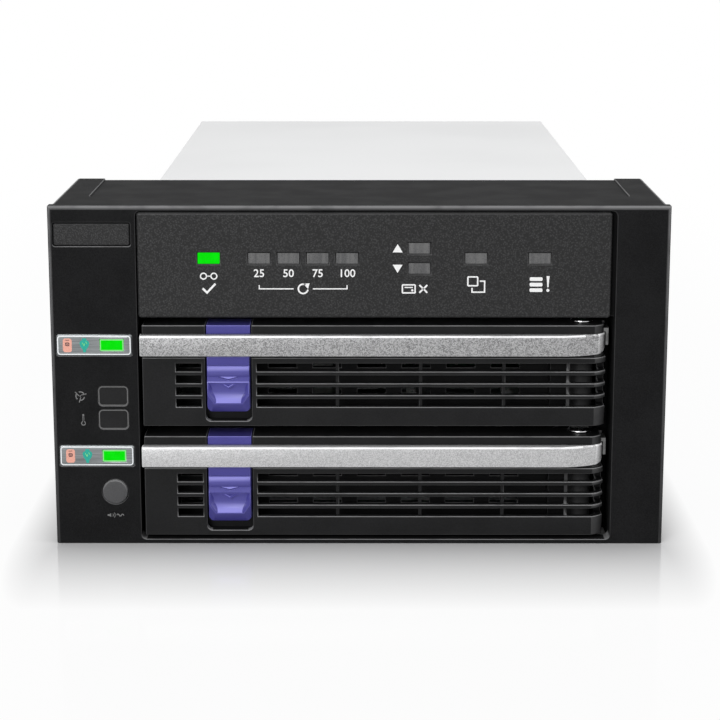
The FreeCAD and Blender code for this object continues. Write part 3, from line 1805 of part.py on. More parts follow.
def controller_board():
    """Main circuit board on the deck plate."""
    board = plate_z(
        case_in_left + controller_side, case_in_right - controller_side,
        controller_front, backplane_front - controller_back_gap,
        board_corner, controller_bottom, controller_top,
    )
    holes = []
    for x, y in standoff_places():
        z = controller_bottom - PAST
        holes.append(rod(x, y, z, machine_hole, board_thick + 2 * PAST, UP))
    return cut(board, holes)


def controller_screws():
    """Screws of the controller board."""
    screws = []
    for x, y in standoff_places():
        screws.append(pan_screw(x, y, controller_top, UP, machine_screw, board_thick))
    return Part.makeCompound(screws)


def controller_chips():
    """Flat chips, memory and a crystal on the controller board."""
    middle = front + chip_row
    places = [
        # from the main chip: right, back, width, depth, height
        (0, 0, 20, 20, chip_height),
        (26, 0, 12, 8, 1.4),
        (26, 18, 12, 8, 1.4),
        (-26, 4, 8, 8, 1.4),
        (-26, -14, 10, 4, 3.0),
        (24, -22, 7, 7, 3.2),
    ]
    chips = []
    for right, back, width, depth, height in places:
        x = tray_centre + right - width / 2
        y = middle + back - depth / 2
        chips.append(box(x, x + width, y, y + depth, controller_top, controller_top + height))
    return Part.makeCompound(chips)


def heat_sink():
    """Finned block on the main chip."""
    z0 = controller_top + chip_height
    z1 = z0 + sink_base
    x0 = tray_centre - sink_size / 2
    y0 = front + chip_row - sink_size / 2
    pieces = [box(x0, x0 + sink_size, y0, y0 + sink_size, z0, z1)]
    pitch = (sink_size - sink_fin) / (sink_fin_count - 1)
    for index in range(sink_fin_count):
        x = x0 + index * pitch
        pieces.append(box(x, x + sink_fin, y0, y0 + sink_size, z1, z0 + sink_height))
    return join(pieces)


def capacitors():
    """Round capacitors near the back of the controller board."""
    cans = []
    first = tray_centre - buzzer_left + buzzer_radius
    y = backplane_front - capacitor_back
    for index in range(capacitor_count):
        x = first + index * capacitor_pitch
        cans.append(rod(x, y, controller_top, capacitor_radius, capacitor_height, UP))
    return Part.makeCompound(cans)


def buzzer():
    """Round buzzer with a sound hole, near the front of the controller board."""
    x = tray_centre - buzzer_left
    y = controller_front + buzzer_back
    can = rod(x, y, controller_top, buzzer_radius, buzzer_height, UP)
    middle = controller_top + buzzer_height / 2
    return can.cut(rod(x, y, middle, buzzer_hole, buzzer_height, UP))


def link_plug():
    """Plug between the controller board and the backplane."""
    x0 = tray_centre - link_width / 2
    return box(
        x0, x0 + link_width, backplane_front - link_depth, backplane_front,
        controller_top, controller_top + link_height,
    )


def backplane():
    """Upright board behind the drives, with air slots."""
    board = plate_y(
        case_in_left + backplane_side, case_in_right - backplane_side,
        backplane_bottom, controller_bottom + backplane_rise,
        board_corner, backplane_front, backplane_back,
    )
    tools = []
    first = tray_centre - backplane_slot_pitch * (backplane_slot_count - 1) / 2
    for index in range(tray_count):
        z0 = lowest_tray + tray_level(index) + backplane_slot_rise
        z1 = z0 + backplane_slot_height
        for column in range(backplane_slot_count):
            x0 = first + column * backplane_slot_pitch - backplane_slot_width / 2
            x1 = x0 + backplane_slot_width
            tools.append(box(x0, x1, backplane_front - PAST, backplane_back + PAST, z0, z1))
    return cut(board, tools)


def drive_sockets():
    """Combined data and power socket for each drive."""
    sockets = []
    x = tray_centre - drive_width / 2 + socket_from_left
    y0 = drive_rear + socket_gap
    half = socket_width / 2
    for index in range(tray_count):
        z0 = tray_side_bottom + tray_level(index) + socket_rise
        slot_z = z0 + (socket_height - slot_thick) / 2
        body = box(x - half, x + half, y0, backplane_front, z0, z0 + socket_height)
        tools = []
        for left, right in (data_slot, power_slot):
            tools.append(
                box(x + left, x + right, y0 - PAST, y0 + slot_depth, slot_z, slot_z + slot_thick)
            )
        sockets.append(cut(body, tools))
    return Part.makeCompound(sockets)


def port_board():
    """Small level board that carries the ports at the back."""
    return plate_z(
        port_left, port_left + port_board_length,
        backplane_back, fan_back - port_board_gap,
        board_corner, port_height - board_thick, port_height,
    )


def port_shroud(corners, depth):
    """Open box of a port."""
    x0, x1, z0, z1 = corners
    y1 = rear + port_proud
    t = port_wall
    body = box(x0, x1, y1 - depth - port_proud, y1, z0, z1)
    bay_front = y1 - depth - port_proud + port_floor
    return body.cut(box(x0 + t, x1 - t, bay_front, y1 + PAST, z0 + t, z1 - t))


def power_port():
    """Four-pin power inlet in its shroud."""
    corners = power_port_box()
    x0, x1, z0, z1 = corners
    depth = power_port_size[1]
    pieces = [port_shroud(corners, depth)]
    first = (x0 + x1) / 2 - power_pin_pitch * (power_pin_count - 1) / 2
    y = rear - depth + port_floor - PAST
    for index in range(power_pin_count):
        x = first + index * power_pin_pitch
        pieces.append(rod(x, y, (z0 + z1) / 2, power_pin_radius, power_pin_length))
    return join(pieces)


def data_port():
    """Data socket with its tongue."""
    corners = data_port_box()
    x0, x1, z0, z1 = corners
    depth = data_port_size[1]
    y0 = rear - depth + port_floor - PAST
    tongue_z = z0 + 2 * port_wall
    tongue = box(
        x0 + 2 * port_wall, x1 - 2 * port_wall, y0, rear - port_gap, tongue_z, tongue_z + tongue_thick
    )
    return join([port_shroud(corners, depth), tongue])


# ---- fan ----
def fan_frame():
    """Square frame with a round duct, corner holes and a motor mount at the back."""
    x = fan_x
    z = fan_centre_height
    h = fan_size / 2
    body = plate_y(x - h, x + h, z - h, z + h, fan_round, fan_front, fan_back)
    through = fan_depth + 2 * PAST
    tools = [rod(x, fan_front - PAST, z, fan_bore, through)]
    for hole_x, hole_z in fan_screw_places():
        tools.append(rod(hole_x, fan_front - PAST, hole_z, fan_hole, through))
    body = cut(body, tools)
    mount_front = fan_back - fan_mount
    half = fan_arm_width / 2
    pieces = [body, rod(x, mount_front, z, fan_hub, fan_mount)]
    for index in range(fan_arm_count):
        arm = box(x - half, x + half, mount_front, fan_back, z, z + fan_bore + fan_rim / 2)
        turn = 30 + 360.0 / fan_arm_count * index
        arm.rotate(Vector(x, 0, z), ALONG, turn)
        pieces.append(arm)
    pieces.append(rod(x, fan_back - fan_screw_length, z, fan_shaft, fan_screw_length))
    return join(pieces)


def blade_section(radius, chord, pitch):
    """Curved section of a blade at a distance from the shaft."""
    angle = math.radians(pitch)
    along = Vector(math.cos(angle), math.sin(angle), 0)
    across = Vector(-math.sin(angle), math.cos(angle), 0)
    centre = Vector(fan_x, fan_front + fan_blade_front, fan_centre_height + radius)
    nose = centre - along * (chord / 2)
    tail = centre + along * (chord / 2)
    outer = Part.Arc(nose, centre + across * blade_camber, tail)
    inner = Part.Arc(tail, centre + across * blade_hollow, nose)
    return Part.Wire([outer.toShape(), inner.toShape()])


def fan_blade():
    """One twisted blade from inside the hub to the tip."""
    root = blade_section(fan_hub - fan_hub_bevel, root_chord, root_pitch)
    tip = blade_section(fan_bore - fan_tip_gap, tip_chord, tip_pitch)
    return Part.makeLoft([root, tip], True, True)


def fan_rotor():
    """Cup-shaped hub with seven blades, turning on the shaft of the frame."""
    x = fan_x
    z = fan_centre_height
    hub_front = fan_front + fan_hub_bevel
    hub_back = fan_back - fan_mount - fan_mount_gap
    hub = rod(x, hub_front, z, fan_hub, hub_back - hub_front)
    hub = hub.makeChamfer(fan_hub_bevel, edges_where(hub, lambda p: is_at(p.y, hub_front)))
    pieces = [hub]
    for index in range(fan_blades):
        blade = fan_blade()
        blade.rotate(Vector(x, 0, z), ALONG, index * 360.0 / fan_blades)
        pieces.append(blade)
    sweep = rod(x, fan_front - PAST, z, fan_bore - fan_tip_gap, fan_depth + 2 * PAST)
    shaft_end = fan_back - fan_screw_length - lens_gap
    bore = rod(x, shaft_end, z, fan_shaft + fan_play, fan_screw_length)
    return join(pieces).common(sweep).cut(bore)


def level_name(index):
    """Name of a tray by its place, from the bottom."""
    return ("lower", "upper")[index]


def all_parts():
    """Every piece of the cage, by name."""
    parts = {
        "bezel_frame": bezel_frame(),
        "label_plate": label_plate(),
        "display_panel": display_panel(),
        "ok_lens": ok_lens(),
        "display_lenses": display_lenses(),
        "display_leds": display_leds(),
        "display_board": display_board(),
        "display_screws": display_screws(),
        "board_header": board_header(),
        "alarm_windows": alarm_windows(),
        "mute_button": mute_button(),
        "status_board": status_board(),
        "status_board_parts": status_board_parts(),
        "status_screws": status_screws(),
        "case_shell": case_shell(),
        "top_cover": top_cover(),
        "cover_screws": cover_screws(),
        "rear_panel": rear_panel(),
        "deck_plate": deck_plate(),
        "left_bracket": side_bracket(-1),
        "right_bracket": side_bracket(1),
        "bracket_screws": bracket_screws(),
        "bezel_screws": bezel_screws(),
        "tray_guides": tray_guides(),
        "standoffs": standoffs(),
        "controller_board": controller_board(),
        "controller_screws": controller_screws(),
        "controller_chips": controller_chips(),
        "heat_sink": heat_sink(),
        "capacitors": capacitors(),
        "buzzer": buzzer(),
        "link_plug": link_plug(),
        "backplane": backplane(),
        "drive_sockets": drive_sockets(),
        "port_board": port_board(),
        "power_port": power_port(),
        "data_port": data_port(),
        "fan_frame": fan_frame(),
        "fan_rotor": fan_rotor(),
        "fan_screws": fan_screws(),
    }
    for index in range(tray_count):
        name = level_name(index)
        parts[name + "_status_strip"] = status_strip(index)
        parts[name + "_status_lens"] = status_lens(index)
        parts[name + "_tray_frame"] = tray_frame(index)
        parts[name + "_tray_plate"] = tray_plate_shape(index)
        parts[name + "_hinge_pin"] = hinge_pin(index)
        parts[name + "_lever_door"] = lever_door(index)
        parts[name + "_lever_bar"] = lever_bar(index)
        parts[name + "_lever_hook"] = lever_hook(index)
        parts[name + "_latch"] = latch(index)
    return parts


os.makedirs("parts", exist_ok=True)
for name, shape in all_parts().items():
    shape.exportStep("parts/" + name + ".step")
    size = shape.BoundBox
    corners = (size.XMin, size.XMax, size.YMin, size.YMax, size.ZMin, size.ZMax)
    print(name, len(shape.Solids), shape.isValid(), [round(value, 2) for value in corners])
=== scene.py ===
"""Hot swap drive cage: finishes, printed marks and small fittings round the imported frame.

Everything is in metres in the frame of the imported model: X to the right seen from the front,
the front faces -Y, Z is up. Sizes in the classes below are millimetres unless they say otherwise.
"""
import json
import logging
import math
from collections import Counter
from dataclasses import dataclass, field
from enum import Enum
from functools import cached_property
from typing import Union

import bmesh
import bpy
from mathutils import Matrix, Vector
from mathutils.bvhtree import BVHTree


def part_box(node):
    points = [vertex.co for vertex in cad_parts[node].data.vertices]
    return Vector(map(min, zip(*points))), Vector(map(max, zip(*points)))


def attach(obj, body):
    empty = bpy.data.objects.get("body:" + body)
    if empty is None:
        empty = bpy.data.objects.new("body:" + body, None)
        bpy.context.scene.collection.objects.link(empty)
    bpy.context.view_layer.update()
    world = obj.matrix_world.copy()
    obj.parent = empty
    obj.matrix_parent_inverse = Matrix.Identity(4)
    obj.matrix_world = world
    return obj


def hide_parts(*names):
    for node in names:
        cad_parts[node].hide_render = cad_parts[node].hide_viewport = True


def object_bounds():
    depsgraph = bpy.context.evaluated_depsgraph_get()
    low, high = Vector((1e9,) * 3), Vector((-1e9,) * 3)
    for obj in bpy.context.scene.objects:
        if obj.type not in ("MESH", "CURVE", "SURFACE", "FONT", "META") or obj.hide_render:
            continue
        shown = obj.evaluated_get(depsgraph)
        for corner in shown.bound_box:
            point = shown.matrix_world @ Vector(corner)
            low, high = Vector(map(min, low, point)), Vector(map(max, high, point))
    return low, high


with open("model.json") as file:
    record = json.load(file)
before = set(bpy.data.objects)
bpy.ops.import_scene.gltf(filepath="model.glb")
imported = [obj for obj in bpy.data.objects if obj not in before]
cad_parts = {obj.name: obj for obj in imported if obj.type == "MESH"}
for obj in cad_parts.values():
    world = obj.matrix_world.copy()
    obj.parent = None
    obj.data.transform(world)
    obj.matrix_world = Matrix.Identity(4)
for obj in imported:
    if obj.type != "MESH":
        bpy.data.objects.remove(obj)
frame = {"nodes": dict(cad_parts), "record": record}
CAD_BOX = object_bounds()

MM = 0.001
CAD_WELD = 0.001
PRINT_WELD = 1e-5
ROUNDING = "rounding"
NOISE_RANGE = (0.3, 0.7)
WHITE = (1.0, 1.0, 1.0)
FIGURE_SHARE = 0.72
SHARPEST_MITRE = 0.3
log = logging.getLogger("drive_cage")

Colour = tuple[float, float, float]
Flat = tuple[float, float]
FlatBox = tuple[float, float, float, float]
Term = Union["Wire", float]
Material = bpy.types.Material
Mesh = bmesh.types.BMesh
Piece = bpy.types.Object


class Level(Enum):
    """The two drive trays."""

    LOWER = "lower"
    UPPER = "upper"


class Facing(Enum):
    """The way that the head of a fastener looks."""

    LEFT = (-1, 0, 0)
    RIGHT = (1, 0, 0)
    BACK = (0, 1, 0)


# ---------------------------------------------------------------- shader maths
class Wire:
    """An output socket that takes part in sums: each operator adds its Math node."""

    def __init__(self, graph: "Graph", socket: bpy.types.NodeSocket) -> None:
        """Wraps one output socket of a graph."""
        self.graph = graph
        self.socket = socket

    def math(self, operation: str, *values: Term) -> "Wire":
        """Adds a Math node of an operation, with its inputs in order."""
        return self.graph.node("ShaderNodeMath", {"operation": operation}, dict(enumerate(values)))

    def __add__(self, other: Term) -> "Wire":
        """Sum."""
        return self.math("ADD", self, other)

    __radd__ = __add__

    def __mul__(self, other: Term) -> "Wire":
        """Product."""
        return self.math("MULTIPLY", self, other)

    __rmul__ = __mul__

    def __sub__(self, other: Term) -> "Wire":
        """Difference."""
        return self.math("SUBTRACT", self, other)

    def __rsub__(self, other: Term) -> "Wire":
        """Difference with the wire on the right."""
        return self.math("SUBTRACT", other, self)

    def __pow__(self, power: Term) -> "Wire":
        """Power."""
        return self.math("POWER", self, power)

    def __rpow__(self, base: Term) -> "Wire":
        """Power with the wire as the exponent."""
        return self.math("POWER", base, self)

    def __or__(self, other: Term) -> "Wire":
        """The larger of the two."""
        return self.math("MAXIMUM", self, other)

    __ror__ = __or__

    def __abs__(self) -> "Wire":
        """Size without the sign."""
        return self.math("ABSOLUTE", self)

    def ramp(self, low: float, high: float, start: float = 0.0, end: float = 1.0) -> "Wire":
        """Smooth change from start to end while the wire goes from low to high."""
        return self._range("SMOOTHSTEP", low, high, start, end)

    def spread(self, start: float = 0.0, end: float = 1.0) -> "Wire":
        """Smooth change from start to end over the values that noise mostly has."""
        return self.ramp(*NOISE_RANGE, start, end)

    def line(self, low: float, high: float, start: float = 0.0, end: float = 1.0) -> "Wire":
        """Even change from start to end while the wire goes from low to high."""
        return self._range("LINEAR", low, high, start, end)

    def _range(self, kind: str, low: float, high: float, start: float, end: float) -> "Wire":
        """Adds a Map Range node."""
        inputs = {0: self, 1: low, 2: high, 3: start, 4: end}
        return self.graph.node("ShaderNodeMapRange", {"interpolation_type": kind}, inputs)


class Graph:
    """The node tree of one material, or of the world."""

    def __init__(self, name: str, owners: bpy.types.bpy_prop_collection | None = None) -> None:
        """Makes an empty material, or another thing that has nodes.

        Args:
            name: Its name.
            owners: The collection that it is made in, else the materials.
        """
        self.owner = (bpy.data.materials if owners is None else owners).new(name)
        self.owner.use_nodes = True
        self.tree = self.owner.node_tree
        self.tree.nodes.clear()

    def node(self, kind: str, settings: dict | None = None, inputs: dict | None = None,
             output: int | str | None = 0) -> Wire | None:
        """Adds any node.

        Args:
            kind: The node's type.
            settings: Its properties, which are set first.
            inputs: Values or wires for its sockets, by name or number.
            output: The socket to return.

        Returns:
            The chosen output, or nothing if the node has none.
        """
        node = self.tree.nodes.new(kind)
        for name, value in (settings or {}).items():
            setattr(node, name, value)
        for name, value in (inputs or {}).items():
            socket = node.inputs[name]
            if isinstance(value, Wire):
                self.tree.links.new(value.socket, socket)
            elif socket.type == "RGBA" and len(value) == 3:
                socket.default_value = (*value, 1.0)
            else:
                socket.default_value = value
        return None if output is None else Wire(self, node.outputs[output])

    def vector(self, operation: str, inputs: dict) -> Wire:
        """Adds a Vector Math node."""
        return self.node("ShaderNodeVectorMath", {"operation": operation}, inputs)

    @cached_property
    def place(self) -> Wire:
        """The point on the piece in millimetres."""
        return self.scaled(self.node("ShaderNodeTexCoord", output="Object"), 1 / MM)

    def scaled(self, vector: Wire, factor: float) -> Wire:
        """A vector times a number."""
        return self.vector("SCALE", {0: vector, "Scale": factor})

    def stretched(self, x: float, y: float, z: float) -> Wire:
        """The point with each axis times its own number."""
        return self.vector("MULTIPLY", {0: self.place, 1: (x, y, z)})

    def bent(self, size: float, reach: float) -> Wire:
        """The point pushed about within reach by noise with bumps of a size in millimetres."""
        push = self.node("ShaderNodeTexNoise", None, {"Vector": self.place, "Scale": 1 / size}, "Color")
        return self.vector("ADD", {0: self.place, 1: self.scaled(push, reach)})

    def axis(self, letter: str, vector: Wire | None = None) -> Wire:
        """One coordinate of a vector, or of the point in millimetres."""
        return self.node("ShaderNodeSeparateXYZ", None, {0: vector or self.place}, letter)

    def noise(self, size: float, detail: float = 2.0, vector: Wire | None = None) -> Wire:
        """Noise with bumps of a size in millimetres and some finer layers, read at a vector or the point."""
        inputs = {"Vector": vector or self.place, "Scale": 1 / size, "Detail": detail}
        return self.node("ShaderNodeTexNoise", None, inputs)

    def cells(self, size: float, vector: Wire | None = None) -> Wire:
        """A random value for each cell of a size in millimetres, read at a vector or the point."""
        colour = self.spots({"Vector": vector or self.place, "Scale": 1 / size}, output="Color")
        return self.node("ShaderNodeSeparateColor", None, {0: colour}, 0)

    def spots(self, inputs: dict, feature: str = "F1", output: str = "Distance") -> Wire:
        """Adds a Voronoi node."""
        return self.node("ShaderNodeTexVoronoi", {"feature": feature}, inputs, output)

    def blend(self, factor: Term, first: "Wire | Colour", second: "Wire | Colour") -> Wire:
        """Colour between two colours."""
        inputs = {0: factor, 6: first, 7: second}
        return self.node("ShaderNodeMix", {"data_type": "RGBA"}, inputs, 2)

    def bump(self, height: Wire, depth: float, strength: float = 1.0) -> Wire:
        """Normal of a surface with a height from 0 to 1 that is worth depth in millimetres."""
        inputs = {"Height": height, "Distance": depth * MM, "Strength": strength}
        return self.node("ShaderNodeBump", None, inputs)

    def principled(self, **sockets: "Wire | float | Colour") -> Wire:
        """Adds a Principled shader, whose sockets are named with _ for a space."""
        inputs = {name.replace("_", " "): value for name, value in sockets.items()}
        return self.node("ShaderNodeBsdfPrincipled", None, inputs)

    def surface(self, **sockets: "Wire | float | Colour") -> None:
        """Ends the graph in a Principled shader."""
        self.end(self.principled(**sockets))

    def end(self, shader: Wire, output: str = "ShaderNodeOutputMaterial") -> bpy.types.ID:
        """Ends the graph in a shader and gives back what owns it."""
        self.node(output, None, {"Surface": shader}, None)
        return self.owner

    @cached_property
    def painted_edge_highlight(self) -> Wire:
        """How strongly a rounded edge gets a painted highlight, which is most where it faces up, in patches.

        Returns:
            The share of the painted highlight colour, from 0 to 1.
        """
        # painted highlight: faces of a rounding, most where they face up
        edge = self.node("ShaderNodeAttribute", {"attribute_name": ROUNDING}, output="Fac")
        up = self.axis("Z", self.node("ShaderNodeNewGeometry", output="Normal"))
        return edge * up.line(0.0, 0.5, 0.15, 1.0) * self.noise(7.0).ramp(0.25, 0.5, 0.65, 1.0)

    @property
    def seen(self) -> Wire:
        """1 for the rays of the eye, of shine and of clear parts, 0 for light that falls on things."""
        camera, gloss, clear = (self.node("ShaderNodeLightPath", output=f"Is {kind} Ray")
                                for kind in ("Camera", "Glossy", "Transmission"))
        return camera | gloss | clear


# ---------------------------------------------------------------- finishes
@dataclass(frozen=True)
class Finish:
    """A surface with its name and main colour. Each kind of surface lays its own nodes."""

    name: str
    colour: Colour

    def lay(self) -> None:
        """Lays the nodes."""
        raise NotImplementedError(self.name)

    @cached_property
    def graph(self) -> Graph:
        """The nodes of the material."""
        return Graph(self.name)

    @cached_property
    def material(self) -> Material:
        """The material, made when a piece first needs it."""
        self.lay()
        return self.graph.owner

    def tinted(self, factor: float, lift: float = 0.0) -> Colour:
        """The main colour times a factor, with the same lift in each channel."""
        return tuple(channel * factor + lift for channel in self.colour)


@dataclass(frozen=True)
class MouldedPlastic(Finish):
    """Satin moulded plastic with a fine spark-eroded grain, flow mottling and a painted highlight on rounded
    edges that face up.
    """

    roughness: float = 0.42
    gloss: float = 0.2
    grain: float = 0.22
    grain_depth: float = 0.012
    speckle: float = 0.25
    mottle: float = 9.0
    # colour of the painted highlight on rounded edges that face up
    edge: Colour = (0.17, 0.17, 0.173)

    def lay(self) -> None:
        """Lays the nodes."""
        g = self.graph
        fine = g.noise(self.grain)
        wide = g.noise(self.mottle, 3.0)
        tone = (fine * 0.65 + wide * 0.35).ramp(0.32, 0.68)
        resin = g.blend(tone, self.tinted(1 - self.speckle), self.tinted(1 + 1.6 * self.speckle, 0.0006))
        g.surface(
            # painted highlight: rounded edges that face up are blended towards the edge colour
            Base_Color=g.blend(g.painted_edge_highlight, resin, self.edge),
            Roughness=wide.spread(self.roughness - 0.04, self.roughness + 0.05) + fine * 0.04,
            Specular_IOR_Level=self.gloss,
            Normal=g.bump(fine, self.grain_depth, 0.7),
        )


@dataclass(frozen=True)
class CoarseGrain(Finish):
    """Plastic with a coarse leathery grain that shows as pale specks, and a painted highlight on rounded
    edges that face up.
    """

    pale: Colour
    roughness: float = 0.5
    gloss: float = 0.25
    grain: float = 0.42
    depth: float = 0.05
    # colour of the painted highlight on rounded edges that face up
    edge: Colour = (0.06, 0.06, 0.061)

    def lay(self) -> None:
        """Lays the nodes."""
        g = self.graph
        pebbles = g.spots({"Vector": g.place, "Scale": 1 / self.grain, "Smoothness": 0.6}, "SMOOTH_F1")
        height = (1 - pebbles) * 0.6 + g.noise(self.grain * 0.55, 3.0) * 0.4
        resin = g.blend(height.ramp(0.45, 0.78), self.colour, self.pale)
        g.surface(
            # painted highlight: rounded edges that face up are blended part way towards the edge colour
            Base_Color=g.blend(g.painted_edge_highlight * 0.6, resin, self.edge),
            Roughness=height.ramp(0.3, 0.8, self.roughness + 0.12, self.roughness - 0.08),
            Specular_IOR_Level=self.gloss,
            Normal=g.bump(height, self.depth, 0.8),
        )


@dataclass(frozen=True)
class SparklePaint(Finish):
    """Silver paint full of metal flake, with a painted highlight on rounded edges that face up, where it is
    also less metallic.
    """

    dark: Colour
    flake: float = 0.3
    # colour of the painted highlight on rounded edges that face up
    edge: Colour = (0.86, 0.86, 0.865)

    def lay(self) -> None:
        """Lays the nodes."""
        g = self.graph
        flakes = g.cells(self.flake)
        small = g.cells(self.flake * 0.5)
        tone = (flakes * 0.55 + small * 0.45).ramp(0.1, 0.85) * 0.85 + g.noise(3.0) * 0.15
        g.surface(
            # painted highlight: rounded edges that face up turn white and less metallic
            Base_Color=g.blend(g.painted_edge_highlight, g.blend(tone, self.dark, self.colour), self.edge),
            Metallic=0.55 - g.painted_edge_highlight * 0.45,
            Roughness=flakes.ramp(0.0, 1.0, 0.46, 0.3),
            Coat_Weight=0.15,
            Coat_Roughness=0.25,
            Normal=g.bump(flakes * 0.5 + small * 0.5, 0.02, 0.5),
        )


@dataclass(frozen=True)
class BrushedMetal(Finish):
    """Metal with fine brush lines along X."""

    dark: Colour
    roughness: float = 0.34
    line: float = 0.16
    length: float = 9.0

    def lay(self) -> None:
        """Lays the nodes."""
        g = self.graph
        lines = g.noise(self.line, 3.0, g.stretched(self.line / self.length, 1.0, 1.0))
        g.surface(
            Base_Color=g.blend(lines.spread(), self.dark, self.colour),
            Metallic=0.9,
            Roughness=lines.spread(self.roughness + 0.07, self.roughness - 0.05) + g.noise(4.0) * 0.06,
            Normal=g.bump(lines, 0.012, 0.6),
        )


@dataclass(frozen=True)
class ZincSteel(Finish):
    """Zinc plated sheet with soft spangle and handling marks."""

    roughness: float = 0.38
    spangle: float = 5.0

    def lay(self) -> None:
        """Lays the nodes."""
        g = self.graph
        crystals = g.cells(self.spangle, g.bent(2.5, 2.5))
        rolled = g.noise(0.25, 2.0, g.stretched(1.0, 0.04, 1.0))
        tone = crystals * 0.35 + g.noise(14.0, 4.0) * 0.45 + rolled * 0.2
        g.surface(
            Base_Color=g.blend(tone.ramp(0.25, 0.75), self.tinted(0.82), self.colour),
            Metallic=0.85,
            Roughness=tone.ramp(0.2, 0.8, self.roughness + 0.1, self.roughness - 0.06),
            Normal=g.bump(rolled * 0.5 + crystals * 0.5, 0.006, 0.35),
        )


@dataclass(frozen=True)
class PaintedSteel(Finish):
    """Pale satin paint with orange peel and faint scuffs."""

    roughness: float = 0.4

    def lay(self) -> None:
        """Lays the nodes."""
        g = self.graph
        haze = g.noise(60.0)
        scuffs = g.noise(0.5, 3.0, g.stretched(0.05, 1.0, 1.0)).ramp(0.68, 0.78)
        g.surface(
            Base_Color=g.blend(haze.spread() * 0.6 + scuffs * 0.4, self.colour, self.tinted(0.96)),
            Roughness=haze.spread(self.roughness, self.roughness + 0.08) - scuffs * 0.08,
            Specular_IOR_Level=0.4,
            Normal=g.bump(g.noise(0.9), 0.02, 0.4),
        )


@dataclass(frozen=True)
class PolishedMetal(Finish):
    """Bright plated metal with faint smears."""

    roughness: float = 0.12

    def lay(self) -> None:
        """Lays the nodes."""
        g = self.graph
        smears = g.noise(1.4, 4.0)
        g.surface(
            Base_Color=g.blend(smears.spread(), self.colour, self.tinted(0.85)),
            Metallic=1.0,
            Roughness=smears.ramp(0.3, 0.75, self.roughness, self.roughness + 0.12),
            Normal=g.bump(g.noise(0.12, 1.0), 0.002, 0.3),
        )


@dataclass(frozen=True)
class LitLens(Finish):
    """Clear lens with a lamp behind it: its glow wavers in soft patches between the main colour and a paler
    rim colour.
    """

    rim: Colour
    strength: float = 1.0

    def lay(self) -> None:
        """Lays the nodes."""
        g = self.graph
        grain = g.noise(0.3)
        glow = g.noise(1.6).ramp(0.3, 0.75) * 0.5 + grain * 0.2
        g.surface(
            Base_Color=g.blend(grain, (0.0, 0.06, 0.0), (0.0, 0.1, 0.0)),
            Roughness=grain.spread(0.2, 0.3),
            Specular_IOR_Level=0.05,
            Emission_Color=g.blend(glow, self.colour, self.rim),
            Emission_Strength=self.strength,
            Normal=g.bump(grain, 0.01, 0.4),
        )


@dataclass(frozen=True)
class SmokedLens(Finish):
    """Unlit lens: grey diffuser with soft vertical streaks."""

    pale: Colour
    roughness: float = 0.3

    def lay(self) -> None:
        """Lays the nodes."""
        g = self.graph
        grain = g.noise(0.25)
        tone = g.noise(1.1, 2.0, g.stretched(1.0, 1.0, 0.12)) * 0.7 + grain * 0.3
        g.surface(
            Base_Color=g.blend(tone.ramp(0.35, 0.65), self.colour, self.pale),
            Roughness=grain.spread(self.roughness - 0.04, self.roughness + 0.06),
            Specular_IOR_Level=0.3,
            Normal=g.bump(grain, 0.008, 0.4),
        )


@dataclass(frozen=True)
class SolderMask(Finish):
    """Circuit board lacquer with copper tracks and tinned pads showing through."""

    track: Colour
    pad: Colour
    pitch: float = 2.4

    def lay(self) -> None:
        """Lays the nodes."""
        g = self.graph
        waves = g.node("ShaderNodeTexWave", {"wave_type": "BANDS", "bands_direction": "DIAGONAL"},
                       {"Vector": g.bent(12.5, 9.0), "Scale": 0.31 / self.pitch, "Distortion": 0.0})
        tracks = waves.ramp(0.72, 0.8)
        spots = g.spots({"Vector": g.place, "Scale": 1 / self.pitch, "Randomness": 0.35})
        pads = 1 - spots.ramp(0.16, 0.2)
        g.surface(
            Base_Color=g.blend(pads, g.blend(tracks, self.colour, self.track), self.pad),
            Metallic=pads * 0.8,
            Roughness=g.noise(0.5).spread(0.28, 0.4),
            Normal=g.bump(tracks * 0.6 + pads * 0.4, 0.02, 0.5),
        )


@dataclass(frozen=True)
class PrintedInk(Finish):
    """Opaque screen-printed ink with tiny pinholes."""

    wear: float = 0.12

    def lay(self) -> None:
        """Lays the nodes."""
        g = self.graph
        pinholes = g.noise(0.12)
        g.surface(
            Base_Color=g.blend(pinholes.ramp(0.4, 0.7), self.colour, self.tinted(1 - self.wear)),
            Roughness=pinholes.spread(0.5, 0.62),
            Specular_IOR_Level=0.25,
            Normal=g.bump(pinholes, 0.005, 0.4),
        )


@dataclass(frozen=True)
class StudioFloor(Finish):
    """Pale polished table that keeps shadow and reflection near the cage and is white further out."""

    name: str = "studio_table"
    colour: Colour = (0.56, 0.56, 0.565)
    near: float = 0.0
    middle: float = 0.94
    reflection_reach: float = 44.0
    side_haste: float = 4.0
    shadow_reach: float = 600.0

    def lay(self) -> None:
        """Lays the nodes."""
        g = self.graph
        polish = g.noise(40.0).spread(0.08, 0.12)
        table = g.principled(Base_Color=self.colour, Roughness=polish, Specular_IOR_Level=0.5)
        white = g.node("ShaderNodeEmission", None, {"Color": WHITE, "Strength": 1.0})
        away = self._away
        share = (away.line(0.0, self.reflection_reach, self.near, self.middle)
                 + away.ramp(self.reflection_reach, self.shadow_reach, 0.0, 1.0 - self.middle))
        g.end(g.node("ShaderNodeMixShader", None, {0: share * g.seen, 1: table, 2: white}))

    @property
    def _away(self) -> Wire:
        """How far a point of the table is from the foot of the cage.

        Returns:
            The distance in millimetres, which grows faster to the sides.
        """
        gaps = []
        for axis, letter in enumerate("XY"):
            low, high = (corner[axis] / MM for corner in CAD_BOX)
            gap = (abs(self.graph.axis(letter) - (low + high) / 2) - (high - low) / 2) | 0.0
            gaps.append(gap * gap)
        return (gaps[0] * self.side_haste**2 + gaps[1]) ** 0.5


